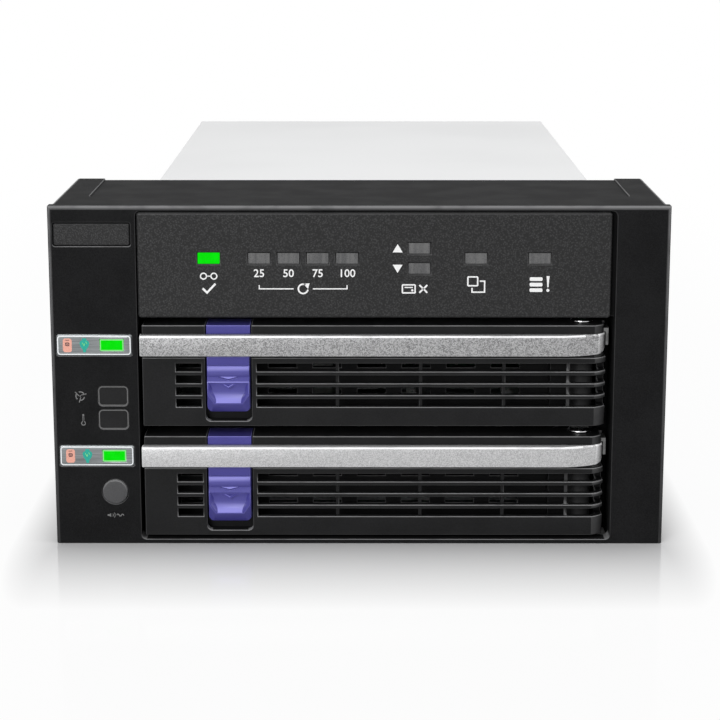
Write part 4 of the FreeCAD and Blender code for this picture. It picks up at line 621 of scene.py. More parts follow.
class Palette:
    """Every finish of the drive cage."""

    bezel = MouldedPlastic("bezel_black", (0.0096, 0.0097, 0.0101), 0.6, 0.03)
    # edge: colour of the painted highlight on the door's up-facing rounded edges
    door = MouldedPlastic("door_black", (0.0072, 0.0073, 0.0077), 0.42, 0.13, edge=(0.2, 0.2, 0.203))
    tray = MouldedPlastic("tray_black", (0.0045, 0.0045, 0.0048), 0.5, 0.1)
    black = MouldedPlastic("fitting_black", (0.009, 0.009, 0.0095), 0.4, 0.35)
    window = MouldedPlastic("window_black", (0.006, 0.006, 0.0065), 0.3)
    button = MouldedPlastic("button_grey", (0.054, 0.054, 0.056), 0.45, 0.25)
    nylon = MouldedPlastic("nylon_white", (0.62, 0.6, 0.55), 0.4, 0.4, speckle=0.05)
    lamp = MouldedPlastic("lamp_body", (0.66, 0.7, 0.66), 0.2, 0.5, speckle=0.05, grain_depth=0.003)
    # edge: colour of the painted highlight on the latch's up-facing rounded edges
    latch = MouldedPlastic("latch_purple", (0.05, 0.045, 0.235), 0.34, 0.32, speckle=0.06,
                           grain_depth=0.004, edge=(0.24, 0.23, 0.62))
    panel = CoarseGrain("panel_grain", (0.0085, 0.0085, 0.0088), (0.037, 0.037, 0.038))
    label = CoarseGrain("label_grain", (0.0095, 0.0095, 0.0099), (0.038, 0.038, 0.039), grain=0.36)
    # one silver paint on both bars: the lower bar's lighter silver is painted light, the upper bar's darker
    # silver painted shade
    bars = {
        Level.UPPER: SparklePaint("shaded_upper_sparkle", (0.44, 0.44, 0.444), (0.1, 0.1, 0.102), 0.26),
        Level.LOWER: SparklePaint("lit_lower_sparkle", (0.57, 0.57, 0.575), (0.29, 0.29, 0.294), 0.2),
    }
    strip = BrushedMetal("strip_silver", (0.27, 0.285, 0.29), (0.15, 0.16, 0.163))
    sink = BrushedMetal("anodised_sink", (0.3, 0.31, 0.33), (0.2, 0.2, 0.22), 0.42)
    # painted highlight: a pale polished ring that stands for the light on the status strip's chamfer
    strip_rim = PolishedMetal("strip_rim", (0.86, 0.88, 0.9), 0.3)
    chrome = PolishedMetal("pin_chrome", (0.82, 0.82, 0.83))
    screw = PolishedMetal("screw_steel", (0.56, 0.56, 0.57), 0.26)
    case = ZincSteel("zinc_case", (0.66, 0.67, 0.69))
    zinc = ZincSteel("zinc_small_parts", (0.6, 0.6, 0.6), 0.32, 1.5)
    hook = ZincSteel("hook_steel", (0.2, 0.2, 0.2), 0.4, 1.5)
    cover = PaintedSteel("cover_paint", (0.74, 0.744, 0.748))
    board = SolderMask("board_green", (0.012, 0.09, 0.035), (0.03, 0.16, 0.07), (0.6, 0.6, 0.58))
    green = LitLens("lens_green", (0.0, 0.64, 0.0), (0.0, 0.8, 0.005))
    rim_green = LitLens("rim_green", (0.3, 0.85, 0.3), (0.45, 0.9, 0.45), 0.8)
    smoke = SmokedLens("lens_smoke", (0.075, 0.075, 0.077), (0.125, 0.125, 0.125))
    white_ink = PrintedInk("ink_white", (0.82, 0.82, 0.82))
    # grey for the fan and thermometer strokes, which are painted highlights on the edges of relief signs,
    # and for the mute mark
    grey_ink_and_relief_highlight = PrintedInk("ink_grey_and_relief_highlight", (0.2, 0.2, 0.2), 0.6)
    rim_ink = PrintedInk("rim_grey", (0.12, 0.12, 0.12), 0.2)
    salmon_ink = PrintedInk("ink_salmon", (0.76, 0.37, 0.29))
    maroon_ink = PrintedInk("ink_maroon", (0.13, 0.07, 0.07), 0.3)
    teal_ink = PrintedInk("ink_teal", (0.02, 0.36, 0.28))


# ---------------------------------------------------------------- making pieces
@dataclass
class Corners:
    """A box in millimetres."""

    x0: float
    x1: float
    y0: float
    y1: float
    z0: float
    z1: float

    @classmethod
    def between(cls, low: Vector, high: Vector) -> "Corners":
        """Box between two corners in metres."""
        return cls(*(value / MM for pair in zip(low, high) for value in pair))

    @classmethod
    def of(cls, node: str) -> "Corners":
        """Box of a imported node."""
        return cls.between(*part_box(node))

    @property
    def x(self) -> float:
        """Middle along X."""
        return (self.x0 + self.x1) / 2

    @property
    def z(self) -> float:
        """Middle along Z."""
        return (self.z0 + self.z1) / 2

    def face(self, inset: float) -> FlatBox:
        """Its front, with each side moved in."""
        return self.x0 + inset, self.x1 - inset, self.z0 + inset, self.z1 - inset


def loose_boxes(node: str) -> list[Corners]:
    """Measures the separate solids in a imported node.

    Args:
        node: Its name.

    Returns:
        Their boxes, from left to right, then front to back, then upwards.
    """
    mesh = bmesh.new()
    mesh.from_mesh(frame["nodes"][node].data)
    bmesh.ops.remove_doubles(mesh, verts=mesh.verts, dist=CAD_WELD * MM)
    waiting = set(mesh.verts)
    boxes = []
    while waiting:
        group = [waiting.pop()]
        for vertex in group:
            touching = {edge.other_vert(vertex) for edge in vertex.link_edges} & waiting
            waiting -= touching
            group += touching
        sides = list(zip(*(vertex.co for vertex in group)))
        boxes.append(Corners.between([min(side) for side in sides], [max(side) for side in sides]))
    mesh.free()
    return sorted(boxes, key=lambda b: (round(b.x0, 1), round(b.y0, 1), round(b.z0, 1)))


def dress(finish: Finish, *nodes: str) -> None:
    """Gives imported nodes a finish.

    Args:
        finish: The finish.
        nodes: Names of the nodes.
    """
    for name in nodes:
        piece = frame["nodes"][name]
        if not piece.material_slots:
            piece.data.materials.append(finish.material)
        for slot in piece.material_slots:
            slot.material = finish.material
        log.info("node %s gets %s", name, finish.name)


def stand(name: str, data: bpy.types.ID) -> Piece:
    """Puts an object with its mesh, text, lamp or camera into the scene."""
    bpy.context.scene.collection.objects.link(thing := bpy.data.objects.new(name, data))
    return thing


def add_piece(name: str, mesh: Mesh, finish: Finish, body: str, slot: str,
              smooth: float = 0.0) -> Piece:
    """Makes an object of a mesh in millimetres and hangs it on a body.

    Args:
        name: Name of the piece.
        mesh: Its mesh, which is freed.
        finish: Its finish.
        body: The body that it rides on.
        slot: The material slot of the record that it belongs to; not used.
        smooth: Largest turn in degrees that is shaded round.

    Returns:
        The object.
    """
    bmesh.ops.recalc_face_normals(mesh, faces=mesh.faces)
    for edge in mesh.edges:
        edge.smooth = edge.is_manifold and edge.calc_face_angle(math.pi) < math.radians(smooth)
    for face in mesh.faces:
        face.smooth = smooth > 0
    mesh.transform(Matrix.Scale(MM, 4))
    data = bpy.data.meshes.new(name)
    mesh.to_mesh(data)
    mesh.free()
    data.materials.append(finish.material)
    piece = stand(name, data)
    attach(piece, body)
    log.info("piece %s rides on %s", name, body)
    return piece


def body_of(node: str) -> str:
    """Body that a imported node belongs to."""
    bodies = frame["record"]["behaviour"]["bodies"]
    return next(body for body, nodes in bodies.items() if node in nodes)


def slot_of(node: str) -> str:
    """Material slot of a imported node."""
    return next(part["material_slot"] for part in frame["record"]["subparts"] if part["node"] == node)


@dataclass
class RoundedPart:
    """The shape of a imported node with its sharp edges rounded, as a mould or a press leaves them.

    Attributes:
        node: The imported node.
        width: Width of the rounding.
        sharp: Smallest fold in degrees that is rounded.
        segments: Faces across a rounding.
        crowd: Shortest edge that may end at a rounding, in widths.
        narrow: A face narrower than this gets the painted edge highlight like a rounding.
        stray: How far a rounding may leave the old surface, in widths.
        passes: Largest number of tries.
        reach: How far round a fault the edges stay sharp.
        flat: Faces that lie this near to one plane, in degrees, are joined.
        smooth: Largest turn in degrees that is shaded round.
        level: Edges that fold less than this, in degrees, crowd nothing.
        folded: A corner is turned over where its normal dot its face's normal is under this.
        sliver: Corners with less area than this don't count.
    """

    node: str
    width: float
    sharp: float = 60.0
    segments: int = 2
    crowd: float = 2.2
    narrow: float = 0.8
    stray: float = 0.6
    passes: int = 6
    reach: float = 0.8
    flat: float = 0.5
    smooth: float = 52.0
    level: float = 1.0
    folded: float = 0.2
    sliver: float = 5e-7

    def build(self, finish: Finish) -> Piece:
        """Makes the piece and lets it stand for its node.

        Args:
            finish: Its finish.

        Returns:
            The piece.
        """
        kept_sharp: list[Vector] = []
        for _ in range(self.passes):
            mesh = self._plain()
            skin = BVHTree.FromBMesh(mesh)
            mark = mesh.faces.layers.float[ROUNDING]
            rounding = bmesh.ops.bevel(mesh, geom=self._edges(mesh, kept_sharp), offset=self.width,
                                       offset_type="OFFSET", profile=0.5, segments=self.segments,
                                       affect="EDGES", clamp_overlap=False)
            # faces of the rounding are marked for the painted edge highlight
            for face in rounding["faces"]:
                face[mark] = 1.0
            faults = self._faults(mesh, skin)
            if not faults:
                break
            kept_sharp += faults
        piece = add_piece(f"{self.node}_moulded", mesh, finish, body_of(self.node),
                          slot_of(self.node), self.smooth)
        piece.modifiers.new("clean_shading", "WEIGHTED_NORMAL").keep_sharp = True
        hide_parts(self.node)
        return piece

    def _plain(self) -> Mesh:
        """Copies the node in millimetres, with whole flat faces cut into few triangles.

        Returns:
            The copy, whose narrow faces are marked.
        """
        mesh = bmesh.new()
        mesh.from_mesh(frame["nodes"][self.node].data)
        mesh.transform(Matrix.Scale(1 / MM, 4))
        bmesh.ops.remove_doubles(mesh, verts=mesh.verts, dist=CAD_WELD)
        bmesh.ops.dissolve_limit(mesh, angle_limit=math.radians(self.flat), verts=mesh.verts,
                                 edges=mesh.edges)
        mark = mesh.faces.layers.float.new(ROUNDING)
        for face in mesh.faces:
            spans = sorted(max(side) - min(side) for side in zip(*(vertex.co for vertex in face.verts)))
            face[mark] = float(spans[1] < self.narrow)
        bmesh.ops.triangulate(mesh, faces=mesh.faces)
        return mesh

    def _edges(self, mesh: Mesh, kept_sharp: list[Vector]) -> list[bmesh.types.BMEdge]:
        """Chooses the sharp outer edges that have room for the rounding.

        Args:
            mesh: The plain mesh.
            kept_sharp: Places where earlier tries failed.

        Returns:
            The edges.
        """
        sharp = {edge for edge in mesh.edges
                 if edge.is_manifold and edge.calc_face_angle() > math.radians(self.sharp)}
        meeting = Counter(vertex for edge in sharp for vertex in edge.verts)
        crowded = set()
        level = math.radians(self.level)
        for edge in mesh.edges:
            if edge.calc_length() < self.crowd * self.width and edge.calc_face_angle() > level:
                crowded |= {vertex for vertex in edge.verts if edge not in sharp or meeting[vertex] != 2}
        for place in kept_sharp:
            crowded |= {vertex for vertex in meeting if (vertex.co - place).length < self.reach}
        return [edge for edge in sharp if edge.is_convex and not crowded & set(edge.verts)]

    def _faults(self, mesh: Mesh, skin: BVHTree) -> list[Vector]:
        """Finds where the rounding turned a corner over or threw a point off the old surface.

        Args:
            mesh: The rounded mesh.
            skin: The old surface.

        Returns:
            The middles of the turned corners, and the thrown points with the points next to them.
        """
        places = []
        for loops in mesh.calc_loop_triangles():
            first, second, third = (loop.vert.co for loop in loops)
            turned = (second - first).cross(third - first)
            uprightness = turned.normalized().dot(loops[0].face.normal)
            if turned.length > 2 * self.sliver and uprightness < self.folded:
                places.append((first + second + third) / 3)
        for vertex in mesh.verts:
            if skin.find_nearest(vertex.co)[3] > self.stray * self.width:
                nearby = [edge.other_vert(vertex) for edge in vertex.link_edges]
                places += [point.co.copy() for point in (vertex, *nearby)]
        return places


def rounded_parts(width: float, finish: Finish, *nodes: str, sharp: float = 60.0, segments: int = 2) -> None:
    """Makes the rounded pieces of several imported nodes."""
    for node in nodes:
        RoundedPart(node, width, sharp, segments).build(finish)


def on_circle(x: float, z: float, radius: float, degrees: float) -> Flat:
    """Point on a circle, counted from +X towards +Z."""
    turn = math.radians(degrees)
    return x + radius * math.cos(turn), z + radius * math.sin(turn)


def rounded(box: FlatBox, radius: float, steps: int = 6) -> list[Flat]:
    """Draws a flat box with round corners.

    Args:
        box: Left, right, bottom and top.
        radius: Radius of the corners.
        steps: Sides of each corner.

    Returns:
        The outline.
    """
    x0, x1, z0, z1 = box
    corners = [(x1 - radius, z0 + radius, -90), (x1 - radius, z1 - radius, 0),
               (x0 + radius, z1 - radius, 90), (x0 + radius, z0 + radius, 180)]
    return [on_circle(x, z, radius, start + 90 * i / steps)
            for x, z, start in corners for i in range(steps + 1)]


@dataclass
class Stencil:
    """Marks printed on an upright face at y that looks to the front, drawn in millimetres."""

    y: float
    thickness: float = 0.03
    origin: Flat = (0.0, 0.0)
    mesh: Mesh = field(default_factory=bmesh.new)

    def _plates(self, outlines: list[list[Flat]]) -> None:
        """Adds closed plates that are joined where they meet.

        Args:
            outlines: Their outlines, counted from the origin.
        """
        across, up = self.origin
        faces = []
        for outline in outlines:
            corners = [self.mesh.verts.new((across + x, self.y, up + z)) for x, z in outline]
            faces.append(self.mesh.faces.new(corners))
        bmesh.ops.remove_doubles(self.mesh, verts=list({v for f in faces for v in f.verts}),
                               dist=PRINT_WELD)
        faces = [f for f in faces if f.is_valid]
        grown = bmesh.ops.extrude_face_region(self.mesh, geom=faces, use_keep_orig=True)
        moved = [item for item in grown["geom"] if isinstance(item, bmesh.types.BMVert)]
        bmesh.ops.translate(self.mesh, verts=moved, vec=(0, -self.thickness, 0))

    def polygon(self, points: list[Flat]) -> None:
        """Adds a filled outline."""
        self._plates([points])

    def band(self, inner: list[Flat], outer: list[Flat], closed: bool = True) -> None:
        """Adds the strip between two lines with as many points each."""
        strips = zip(inner, inner[1:] + inner[:1], outer[1:] + outer[:1], outer)
        self._plates([list(strip) for strip in strips][:None if closed else -1])

    def disc(self, x: float, z: float, radius: float, steps: int = 20) -> None:
        """Adds a filled circle."""
        self.polygon([on_circle(x, z, radius, 360 * i / steps) for i in range(steps)])

    def arc(self, x: float, z: float, radius: float, width: float, start: float = 0.0,
            end: float = 360.0, steps: int = 24) -> None:
        """Adds part of a ring, or a whole ring.

        Args:
            x: Its middle along X.
            z: Its middle along Z.
            radius: Radius of the middle of its line.
            width: Width of its line.
            start: Where it starts, in degrees.
            end: Where it ends, in degrees.
            steps: Number of its sides.
        """
        closed = end - start >= 360
        angles = [start + (end - start) * i / steps for i in range(steps if closed else steps + 1)]
        inner, outer = ([on_circle(x, z, radius + half, angle) for angle in angles]
                        for half in (-width / 2, width / 2))
        self.band(inner, outer, closed)

    def stroke(self, points: list[Flat], width: float) -> None:
        """Adds a line of even width with mitred corners.

        Args:
            points: Its corners and ends.
            width: Its width.
        """
        left, right = [], []
        corners = [Vector(point) for point in points]
        legs = [(after - here).normalized() for here, after in zip(corners, corners[1:])]
        for here, first, second in zip(corners, legs[:1] + legs, legs + legs[-1:]):
            along = (first + second).normalized()
            across = Vector((-along.y, along.x)) * (width / 2 / max(along.dot(first), SHARPEST_MITRE))
            left.append(tuple(here + across))
            right.append(tuple(here - across))
        self.band(left, right, closed=False)

    def outline(self, box: FlatBox, radius: float, width: float) -> None:
        """Adds a rounded frame.

        Args:
            box: Left, right, bottom and top of its outer edge.
            radius: Radius of its outer corners.
            width: Width of its line.
        """
        x0, x1, z0, z1 = box
        inner = rounded((x0 + width, x1 - width, z0 + width, z1 - width), max(radius - width, 0.01))
        self.band(rounded(box, radius), inner)

    def figures(self, words: str, height: float, weight: float) -> None:
        """Adds figures that stand on the origin.

        Args:
            words: The figures.
            height: Height of a figure.
            weight: How much each stroke is fattened.
        """
        curve = bpy.data.curves.new("figures", "FONT")
        curve.body = words
        curve.align_x = "CENTER"
        curve.size = height / FIGURE_SHARE
        curve.offset = weight
        curve.extrude = self.thickness / 2
        curve.resolution_u = 3
        holder = stand("figures", curve)
        bpy.context.view_layer.update()
        graph = bpy.context.evaluated_depsgraph_get()
        data = bpy.data.meshes.new_from_object(holder.evaluated_get(graph))
        x, z = self.origin
        data.transform(Matrix.Translation((x, self.y - self.thickness / 2, z))
                       @ Matrix.Rotation(math.pi / 2, 4, "X"))
        self.mesh.from_mesh(data)
        bpy.data.objects.remove(holder)
        bpy.data.meshes.remove(data)
        bpy.data.curves.remove(curve)


# ---------------------------------------------------------------- signs
# A sign is a list of parts. Each part names the way that it is drawn and then its sizes in
# millimetres from the middle of the sign.
Sign = list[tuple]
LINE = 0.26
BLADES = (32, 152, 272)

# The fan and thermometer are relief signs on the bezel; drawn flat in grey, their strokes are painted
# highlights on the relief's edges.
FAN: Sign = [(Stencil.arc, 0, 0, 1.054, LINE, blade, blade + 75, 8) for blade in BLADES] + [
    (Stencil.stroke, [on_circle(0, 0, 0.34, blade + 20), on_circle(0, 0, 1.615, blade - 12)], LINE * 0.8)
    for blade in BLADES] + [(Stencil.disc, 0, 0, LINE * 0.7, 10)]
THERMOMETER: Sign = [
    (Stencil.arc, 0, 0, 0.465, LINE * 0.8, 110, 430, 14),
    (Stencil.stroke, [(-0.15, 0.62), (-0.15, 1.92)], LINE * 0.5),
    (Stencil.stroke, [(0.15, 0.62), (0.15, 1.92)], LINE * 0.5),
    (Stencil.disc, 0, 2.07, LINE, 10),
]
LOUDSPEAKER: Sign = [
    (Stencil.polygon, [(-0.75, -0.2), (-0.35, -0.2), (0.1, -0.5), (0.1, 0.5), (-0.35, 0.2), (-0.75, 0.2)]),
    (Stencil.arc, 0.1, 0, 0.55, LINE * 0.6, -40, 40, 6),
    (Stencil.arc, 0.1, 0, 1.0, LINE * 0.6, -40, 40, 6),
    (Stencil.stroke, [(1.5 + 0.25 * i, 0.3 * math.sin(i * 1.4)) for i in range(8)], LINE * 0.8),
]
DRIVE: Sign = [(Stencil.polygon, rounded((-1.075, 1.075, -1.7, 1.7), 0.6))]
DRIVE_DETAIL: Sign = [
    (Stencil.outline, (-0.5, 0.5, -0.2, 0.7), 0.2, 0.24),
    (Stencil.stroke, [(-0.15, 0.25), (0.15, 0.25)], 0.2),
    (Stencil.stroke, [(-0.45, 1.25), (0.45, 1.25)], 0.16),
]
ARROW_SIDE = [(0.32, -1.75), (0.42, -1.085), (0.96, -0.35), (1.2, 0.525), (0.96, 1.085),
              (0.54, 1.225), (0.48, 1.75)]
ARROW: Sign = [(Stencil.polygon, ARROW_SIDE + [(-x, z) for x, z in reversed(ARROW_SIDE)])]
ARROW_SLITS: Sign = [
    (Stencil.stroke, [(-0.55, 0.7), (-0.1, -0.1), (0.05, 0.45)], 0.13),
    (Stencil.stroke, [(0.3, 0.9), (0.6, 0.35)], 0.13),
]
TICK: Sign = [
    (Stencil.arc, -1.25, 3.1, 0.72, 0.3, 0, 360, 18),
    (Stencil.arc, 1.25, 3.1, 0.72, 0.3, 0, 360, 18),
    (Stencil.stroke, [(-0.45, 3.1), (0.45, 3.1)], 0.26),
    (Stencil.stroke, [(-1.5, 0.1), (-0.45, -0.95), (1.6, 1.25)], 0.5),
]
HEAD_X, HEAD_Z = on_circle(0, 0, 1.15, 45)
TURNING_ARROW: Sign = [
    (Stencil.arc, 0, 0, 1.15, 0.38, 60, 350, 20),
    (Stencil.polygon, [(HEAD_X - 0.75, HEAD_Z + 0.45), (HEAD_X + 0.75, HEAD_Z + 0.55),
                       (HEAD_X + 0.35, HEAD_Z - 0.85)]),
]
DRIVE_AND_CROSS: Sign = [
    (Stencil.outline, (-2.6, 0.8, -1.15, 1.15), 0.35, 0.34),
    (Stencil.disc, -0.05, -0.35, 0.28, 10),
    (Stencil.stroke, [(-1.9, 0.35), (0.1, 0.35)], 0.28),
] + [(Stencil.stroke, [(2.6, 0), (2.6 + x, z)], 0.4) for x in (-0.95, 0.95) for z in (0.95, -0.95)]
TWO_SHEETS: Sign = [
    (Stencil.outline, (-2.1, 0.6, -0.4, 2.1), 0.35, 0.34),
    (Stencil.stroke, [(0.95, 0.9), (2.1, 0.9), (2.1, -1.8), (-0.9, -1.8), (-0.9, -0.75)], 0.34),
]
FULL_STACK: Sign = [
    (Stencil.polygon, rounded((-2.4, 0.7, low, low + 0.9), 0.3, 3)) for low in (-1.75, -0.4, 0.95)
] + [
    (Stencil.polygon, [(1.65, 2.15), (2.35, 2.15), (2.15, -0.6), (1.85, -0.6)]),
    (Stencil.disc, 2.0, -1.35, 0.38, 12),
]


def add_print(name: str, finish: Finish, slot: str, y: float, *signs: tuple[float, float, Sign],
              thickness: float = 0.03) -> None:
    """Prints signs on an upright face that looks to the front.

    Args:
        name: Name of the print.
        finish: Its ink.
        slot: The material slot of the record that it belongs to.
        y: The face that carries it.
        signs: For each sign its middle along X and Z and its parts.
        thickness: How far it stands out of the face.
    """
    stencil = Stencil(y, thickness)
    for x, z, parts in signs:
        stencil.origin = (x, z)
        for draw, *values in parts:
            draw(stencil, *values)
    add_piece(name, stencil.mesh, finish, "cage", slot)


@dataclass
class Fasteners:
    """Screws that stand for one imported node: domed cross-recess heads on threaded shanks.

    Lengths named rim, recess, recess_width, shank, root and tip are shares of the size they belong to.
    """

    node: str
    facing: Facing
    head_height: float
    mirrored: bool = False
    rim: float = 0.35
    recess: float = 0.55
    recess_width: float = 0.16
    recess_depth: float = 0.5
    shank: float = 0.5
    root: float = 0.84
    tip: float = 0.7
    thread: float = 0.5
    segments: int = 32
    rings: int = 10
    smooth: float = 30.0

    def _profile(self, head: float, length: float) -> list[Flat]:
        """Draws half a section of one screw.

        Args:
            head: Radius of the head.
            length: Length of the shank.

        Returns:
            Radius and height from the middle of the crown out to its rim and down to the tip.
        """
        points = []
        for ring in range(1, self.rings + 1):
            share = ring / self.rings
            dome = self.rim + (1 - self.rim) * math.sqrt(max(0.0, 1 - share**2))
            points.append((head * share, self.head_height * dome))
        shank = head * self.shank
        points += [(head, self.head_height * self.rim), (head, 0.0), (shank, 0.0)]
        for turn in range(int(length / self.thread)):
            for radius, share in ((shank, 0.1), (shank * self.root, 0.5), (shank, 0.9)):
                points.append((radius, -self.thread * (turn + share)))
        return points + [(shank * self.tip, -length)]

    def _in_cross(self, x: float, y: float, head: float) -> bool:
        """True inside the cross recess."""
        near, far = sorted((abs(x), abs(y)))
        return near < self.recess_width * head and far < self.recess * head

    def _screw(self, mesh: Mesh, head: float, length: float, place: Matrix) -> None:
        """Adds one screw.

        Args:
            mesh: The mesh that takes it.
            head: Radius of its head.
            length: Length of its shank.
            place: Where its seat goes, with the head along +Z.
        """
        rows = []
        sunk = self.head_height * self.recess_depth
        for number, (radius, height) in enumerate(self._profile(head, length)):
            row = []
            for i in range(self.segments):
                x, y = on_circle(0, 0, radius, 360 * (i + 0.5) / self.segments)
                drop = sunk if number < self.rings and self._in_cross(x, y, head) else 0
                row.append(mesh.verts.new(place @ Vector((x, y, height - drop))))
            rows.append(row)
        middle = mesh.verts.new(place @ Vector((0, 0, sunk)))
        for i in range(self.segments):
            j = (i + 1) % self.segments
            mesh.faces.new((middle, rows[0][i], rows[0][j]))
            for upper, lower in zip(rows, rows[1:]):
                mesh.faces.new((upper[i], lower[i], lower[j], upper[j]))
        mesh.faces.new(rows[-1])

    def build(self) -> None:
        """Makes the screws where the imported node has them."""
        axis = [abs(v) for v in self.facing.value].index(1)
        mesh = bmesh.new()
        for box in loose_boxes(self.node):
            outward = Vector(self.facing.value) * (-1 if self.mirrored and box.x < 0 else 1)
            low = Vector((box.x0, box.y0, box.z0))
            high = Vector((box.x1, box.y1, box.z1))
            size = high - low
            seat = (low + high) / 2 + outward * (size[axis] / 2 - self.head_height)
            place = Matrix.Translation(seat) @ outward.to_track_quat("Z", "Y").to_matrix().to_4x4()
            head = min(size[i] for i in range(3) if i != axis) / 2
            self._screw(mesh, head, size[axis] - self.head_height, place)
        piece = add_piece(self.node + "_threaded", mesh, Palette.screw, "cage", "screw_steel", self.smooth)
        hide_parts(self.node)


# ---------------------------------------------------------------- sub-assemblies
@dataclass
class BezelFront:
    """The moulded bezel with its label recess, alarm windows and mute button."""

    edge: float = 0.17
    fine_edge: float = 0.12
    button_edge: float = 0.35
    button_sharp: float = 35.0
    window_flange: float = 0.4
    rim_width: float = 0.26
    rim_radius: float = 1.0
    rim_height: float = 0.17
    fan_from_window: float = 4.0
    thermometer_from_window: float = 3.4
    thermometer_drop: float = 0.975
    loudspeaker_place: Flat = (-1.3, -1.85)

    def build(self) -> None:
        """Dresses the bezel and prints its marks."""
        rounded_parts(self.edge, Palette.bezel, "bezel_frame")
        rounded_parts(self.fine_edge, Palette.label, "label_plate")
        rounded_parts(self.fine_edge, Palette.window, "alarm_windows")
        rounded_parts(self.button_edge, Palette.button, "mute_button", sharp=self.button_sharp,
                      segments=3)
        lower, upper = sorted(loose_boxes("alarm_windows"), key=lambda b: b.z)
        rims = [(Stencil.outline, window.face(self.window_flange), self.rim_radius, self.rim_width)
                for window in (lower, upper)]
        add_print("alarm_window_rims", Palette.rim_ink, "window_dark", lower.y0, (0, 0, rims),
                  thickness=self.rim_height)
        face = Corners.of("bezel_frame").y0
        # painted highlight: the grey fan and thermometer strokes stand for light on the edges of relief
        # signs
        add_print("alarm_marks", Palette.grey_ink_and_relief_highlight, "bezel_plastic", face,
                  (upper.x0 - self.fan_from_window, upper.z, FAN),
                  (upper.x0 - self.thermometer_from_window, lower.z - self.thermometer_drop, THERMOMETER))
        button = Corners.of("mute_button")
        across, up = self.loudspeaker_place
        add_print("mute_mark", Palette.grey_ink_and_relief_highlight, "bezel_plastic", face,
                  (button.x + across, button.z0 + up, LOUDSPEAKER))


@dataclass
class StatusStrip:
    """The bright strip beside one tray, with a polished ring laid on its face where the chamfer is, whose
    brightness is a painted highlight of the chamfer, and with its lit lens and two printed marks.
    """

    level: Level
    edge: float = 0.12
    chamfer: float = 0.3
    rim: float = 0.24
    rim_radius: float = 0.75
    ink: float = 0.02
    drive_from_left: float = 2.72
    arrow_from_left: float = 6.85
    glow: float = 0.25
    glow_radius: float = 0.3
    glow_height: float = 0.14
    lens_flange: float = 0.7

    def build(self) -> None:
        """Dresses the strip and its lens and prints the marks."""
        name = self.level.value
        rounded_parts(self.edge, Palette.strip, f"{name}_status_strip")
        rounded_parts(self.edge, Palette.green, f"{name}_status_lens")
        strip = Corners.of(f"{name}_status_strip")
        lens = Corners.of(f"{name}_status_lens")
        # painted highlight: a pale ring inset by the chamfer, standing for the light on the chamfer
        rim = [(Stencil.outline, strip.face(self.chamfer), self.rim_radius, self.rim)]
        glow = [(Stencil.outline, lens.face(self.lens_flange), self.glow_radius, self.glow)]
        drive = (strip.x0 + self.drive_from_left, strip.z)
        arrow = (strip.x0 + self.arrow_from_left, strip.z)
        printed = strip.y0 - self.ink
        for mark, finish, y, *sign in (
                ("strip_rim", Palette.strip_rim, strip.y0, 0, 0, rim),
                ("drive_mark", Palette.salmon_ink, strip.y0, *drive, DRIVE),
                ("drive_detail", Palette.maroon_ink, printed, *drive, DRIVE_DETAIL),
                ("arrow_mark", Palette.teal_ink, strip.y0, *arrow, ARROW),
                # painted glow: the printed arrow slits get the glowing green of the lens rim
                ("arrow_slits", Palette.rim_green, printed, *arrow, ARROW_SLITS)):
            add_print(f"{name}_{mark}", finish, "strip_silver", y, sign, thickness=self.ink)
        add_print(f"{name}_lens_rim", Palette.rim_green, "lens_green", lens.y0, (0, 0, glow),
                  thickness=self.glow_height)


@dataclass
class DisplayPanel:
    """The grained panel with its lamps, figures and generic pictograms."""

    edge: float = 0.4
    lens_edge: float = 0.1
    row_height: float = 0.5
    figure_height: float = 1.95
    figure_weight: float = 0.028
    figure_drop: float = 2.7
    second_row: float = 5.6
    third_row: float = 4.6
    rail: float = 2.3
    rail_end: float = 0.9
    rail_width: float = 0.28
    cross_from_pair: float = 1.6
    triangle: float = 1.2
    triangle_height: float = 2.0
    triangle_drop: float = 0.95
    triangle_from_lens: float = 5.2
    figures: tuple[str, ...] = ("25", "50", "75", "100")

    def build(self) -> None:
        """Dresses the panel and prints it."""
        rounded_parts(self.edge, Palette.panel, "display_panel")
        rounded_parts(self.lens_edge, Palette.green, "ok_lens")
        rounded_parts(self.lens_edge, Palette.smoke, "display_lenses")
        dress(Palette.lamp, "display_leds")
        dress(Palette.board, "display_board")
        dress(Palette.black, "board_header")
        ok = Corners.of("ok_lens")
        lenses = loose_boxes("display_lenses")
        *steps, sheets, stack = [lens for lens in lenses if abs(lens.z - ok.z) < self.row_height]
        pair = sorted((lens for lens in lenses if abs(lens.z - ok.z) > self.row_height), key=lambda b: b.z)
        second, third = ok.z0 - self.second_row, ok.z0 - self.third_row
        half = (steps[-1].x - steps[0].x) / 2
        rails = [(Stencil.stroke, [(side * self.rail, 0), (side * half, 0), (side * half, self.rail_end)],
                  self.rail_width) for side in (-1, 1)]
        prints = {
            "progress_figures": [
                (lens.x, lens.z0 - self.figure_drop,
                 [(Stencil.figures, words, self.figure_height, self.figure_weight)])
                for words, lens in zip(self.figures, steps)],
            "drive_pointers": [
                (lens.x - self.triangle_from_lens, lens.z - up * self.triangle_drop,
                 [(Stencil.polygon, [(-self.triangle, 0), (self.triangle, 0),
                                     (0, up * self.triangle_height)])])
                for lens, up in zip(pair, (-1, 1))],
            "panel_signs": [
                (ok.x, second, TICK),
                ((steps[0].x + steps[-1].x) / 2, second, TURNING_ARROW + rails),
                (pair[0].x - self.cross_from_pair, second, DRIVE_AND_CROSS),
                (sheets.x, third, TWO_SHEETS),
                (stack.x, third, FULL_STACK)],
        }
        face = Corners.of("display_panel").y0
        for name, signs in prints.items():
            add_print(name, Palette.white_ink, "panel_plastic", face, *signs)


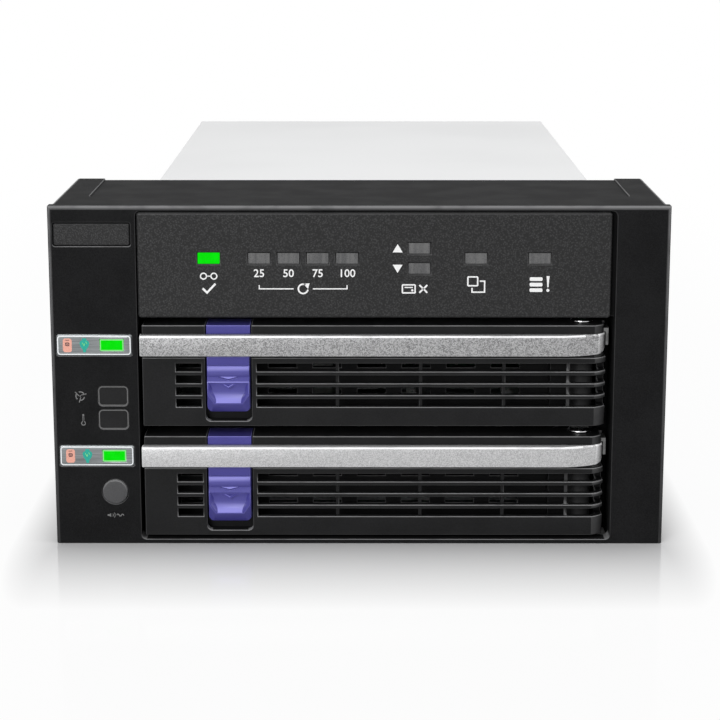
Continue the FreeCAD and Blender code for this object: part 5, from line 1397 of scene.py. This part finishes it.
@dataclass
class DriveTray:
    """One tray with its lever door, bright bar, latch, hinge pin and hook."""

    level: Level
    door_edge: float = 0.2
    bar_edge: float = 0.28
    latch_edge: float = 0.14
    latch_sharp: float = 18.0
    tray_edge: float = 0.15
    hook_edge: float = 0.1

    def build(self) -> None:
        """Makes and dresses the pieces of the tray."""
        name = self.level.value
        dress(Palette.zinc, f"{name}_tray_plate")
        rounded_parts(self.tray_edge, Palette.tray, f"{name}_tray_frame")
        rounded_parts(self.tray_edge, Palette.chrome, f"{name}_hinge_pin")
        rounded_parts(self.hook_edge, Palette.hook, f"{name}_lever_hook")
        rounded_parts(self.door_edge, Palette.door, f"{name}_lever_door")
        rounded_parts(self.bar_edge, Palette.bars[self.level], f"{name}_lever_bar", segments=3)
        rounded_parts(self.latch_edge, Palette.latch, f"{name}_latch", sharp=self.latch_sharp)


@dataclass
class CaseBody:
    """The folded steel case with its cover, back panel and fixing brackets."""

    edge: float = 0.12
    head: float = 1.6
    fan_head: float = 2.0

    def build(self) -> None:
        """Dresses the sheet metal and fits its screws."""
        dress(Palette.case, "deck_plate")
        dress(Palette.tray, "tray_guides")
        rounded_parts(self.edge, Palette.case, "case_shell", "rear_panel", "left_bracket", "right_bracket")
        rounded_parts(self.edge, Palette.cover, "top_cover")
        Fasteners("cover_screws", Facing.BACK, self.head).build()
        Fasteners("fan_screws", Facing.BACK, self.fan_head).build()
        Fasteners("bracket_screws", Facing.RIGHT, self.head, True).build()
        Fasteners("bezel_screws", Facing.LEFT, self.head, True).build()


@dataclass
class Electronics:
    """Boards, connectors and other parts inside the case and in its back panel."""

    def build(self) -> None:
        """Dresses the electronics."""
        dress(Palette.board, "status_board", "controller_board", "backplane", "port_board")
        dress(Palette.lamp, "status_board_parts")
        dress(Palette.black, "controller_chips", "buzzer", "link_plug", "drive_sockets", "data_port")
        dress(Palette.sink, "heat_sink", "capacitors")
        dress(Palette.nylon, "power_port")
        dress(Palette.screw, "controller_screws", "display_screws", "status_screws", "standoffs")


@dataclass
class CoolingFan:
    """The fan behind the back panel."""

    edge: float = 0.2

    def build(self) -> None:
        """Dresses the fan."""
        rounded_parts(self.edge, Palette.black, "fan_frame")
        dress(Palette.black, "fan_rotor")


# ---------------------------------------------------------------- studio
@dataclass
class Studio:
    """Camera, soft lamps, pale table and white backdrop. A lamp has its name, place, side and watts."""

    camera_place: tuple[float, float, float] = (1.0, -557.0, 156.2)
    camera_pitch: float = 11.29
    camera_turn: float = 0.1
    lens: float = 97.95
    shift: float = -0.1
    ambient: float = 0.36
    table: float = 3000.0
    table_gap: float = 0.02
    aim: tuple[float, float, float] = (0.0, 0.0, 40.0)
    lamps: tuple[tuple, ...] = (
        ("overhead_softbox", (0.0, -140.0, 900.0), 600.0, 3.3),
        ("front_softbox", (-380.0, -900.0, 400.0), 500.0, 6.0),
        ("side_softbox", (800.0, -300.0, 400.0), 400.0, 2.2),
    )

    def build(self) -> None:
        """Sets up the studio."""
        self._camera()
        self._world()
        self._floor()
        self._lights()
        bpy.context.scene.view_settings.view_transform = "Standard"

    def _camera(self) -> None:
        """Stands the camera in front of the doors, a little above them."""
        camera = stand("camera", bpy.data.cameras.new("camera"))
        camera.location = Vector(self.camera_place) * MM
        camera.rotation_euler = (math.radians(90 - self.camera_pitch), 0, math.radians(self.camera_turn))
        camera.data.lens = self.lens
        camera.data.shift_y = self.shift
        bpy.context.scene.camera = camera

    def _world(self) -> None:
        """White for the eye and for shine, softer for the light that it sheds."""
        g = Graph("backdrop", bpy.data.worlds)
        strength = g.seen.line(0.0, 1.0, self.ambient, 1.0)
        light = g.node("ShaderNodeBackground", None, {"Color": WHITE, "Strength": strength})
        bpy.context.scene.world = g.end(light, "ShaderNodeOutputWorld")

    def _floor(self) -> None:
        """Lays the table just under the cage."""
        mesh = bmesh.new()
        bmesh.ops.create_grid(mesh, x_segments=1, y_segments=1, size=self.table * MM)
        data = bpy.data.meshes.new("studio_table")
        mesh.to_mesh(data)
        mesh.free()
        data.materials.append(StudioFloor().material)
        table = stand("studio_table", data)
        table.location.z = -self.table_gap * MM

    def _lights(self) -> None:
        """Hangs the square lamps, which look at the cage."""
        for name, place, size, power in self.lamps:
            lamp = bpy.data.lights.new(name, "AREA")
            lamp.size = size * MM
            lamp.energy = power
            holder = stand(name, lamp)
            holder.location = Vector(place) * MM
            towards = Vector(self.aim) * MM - holder.location
            holder.rotation_euler = towards.to_track_quat("-Z", "Y").to_euler()


def main() -> None:
    """Builds every sub-assembly, then the studio."""
    logging.basicConfig(level=logging.INFO, format="%(message)s")
    parts = [BezelFront(), DisplayPanel(), CaseBody(), Electronics(), CoolingFan()]
    parts += [kind(level) for level in Level for kind in (StatusStrip, DriveTray)]
    for part in [*parts, Studio()]:
        part.build()


if __name__ == "__main__":
    main()
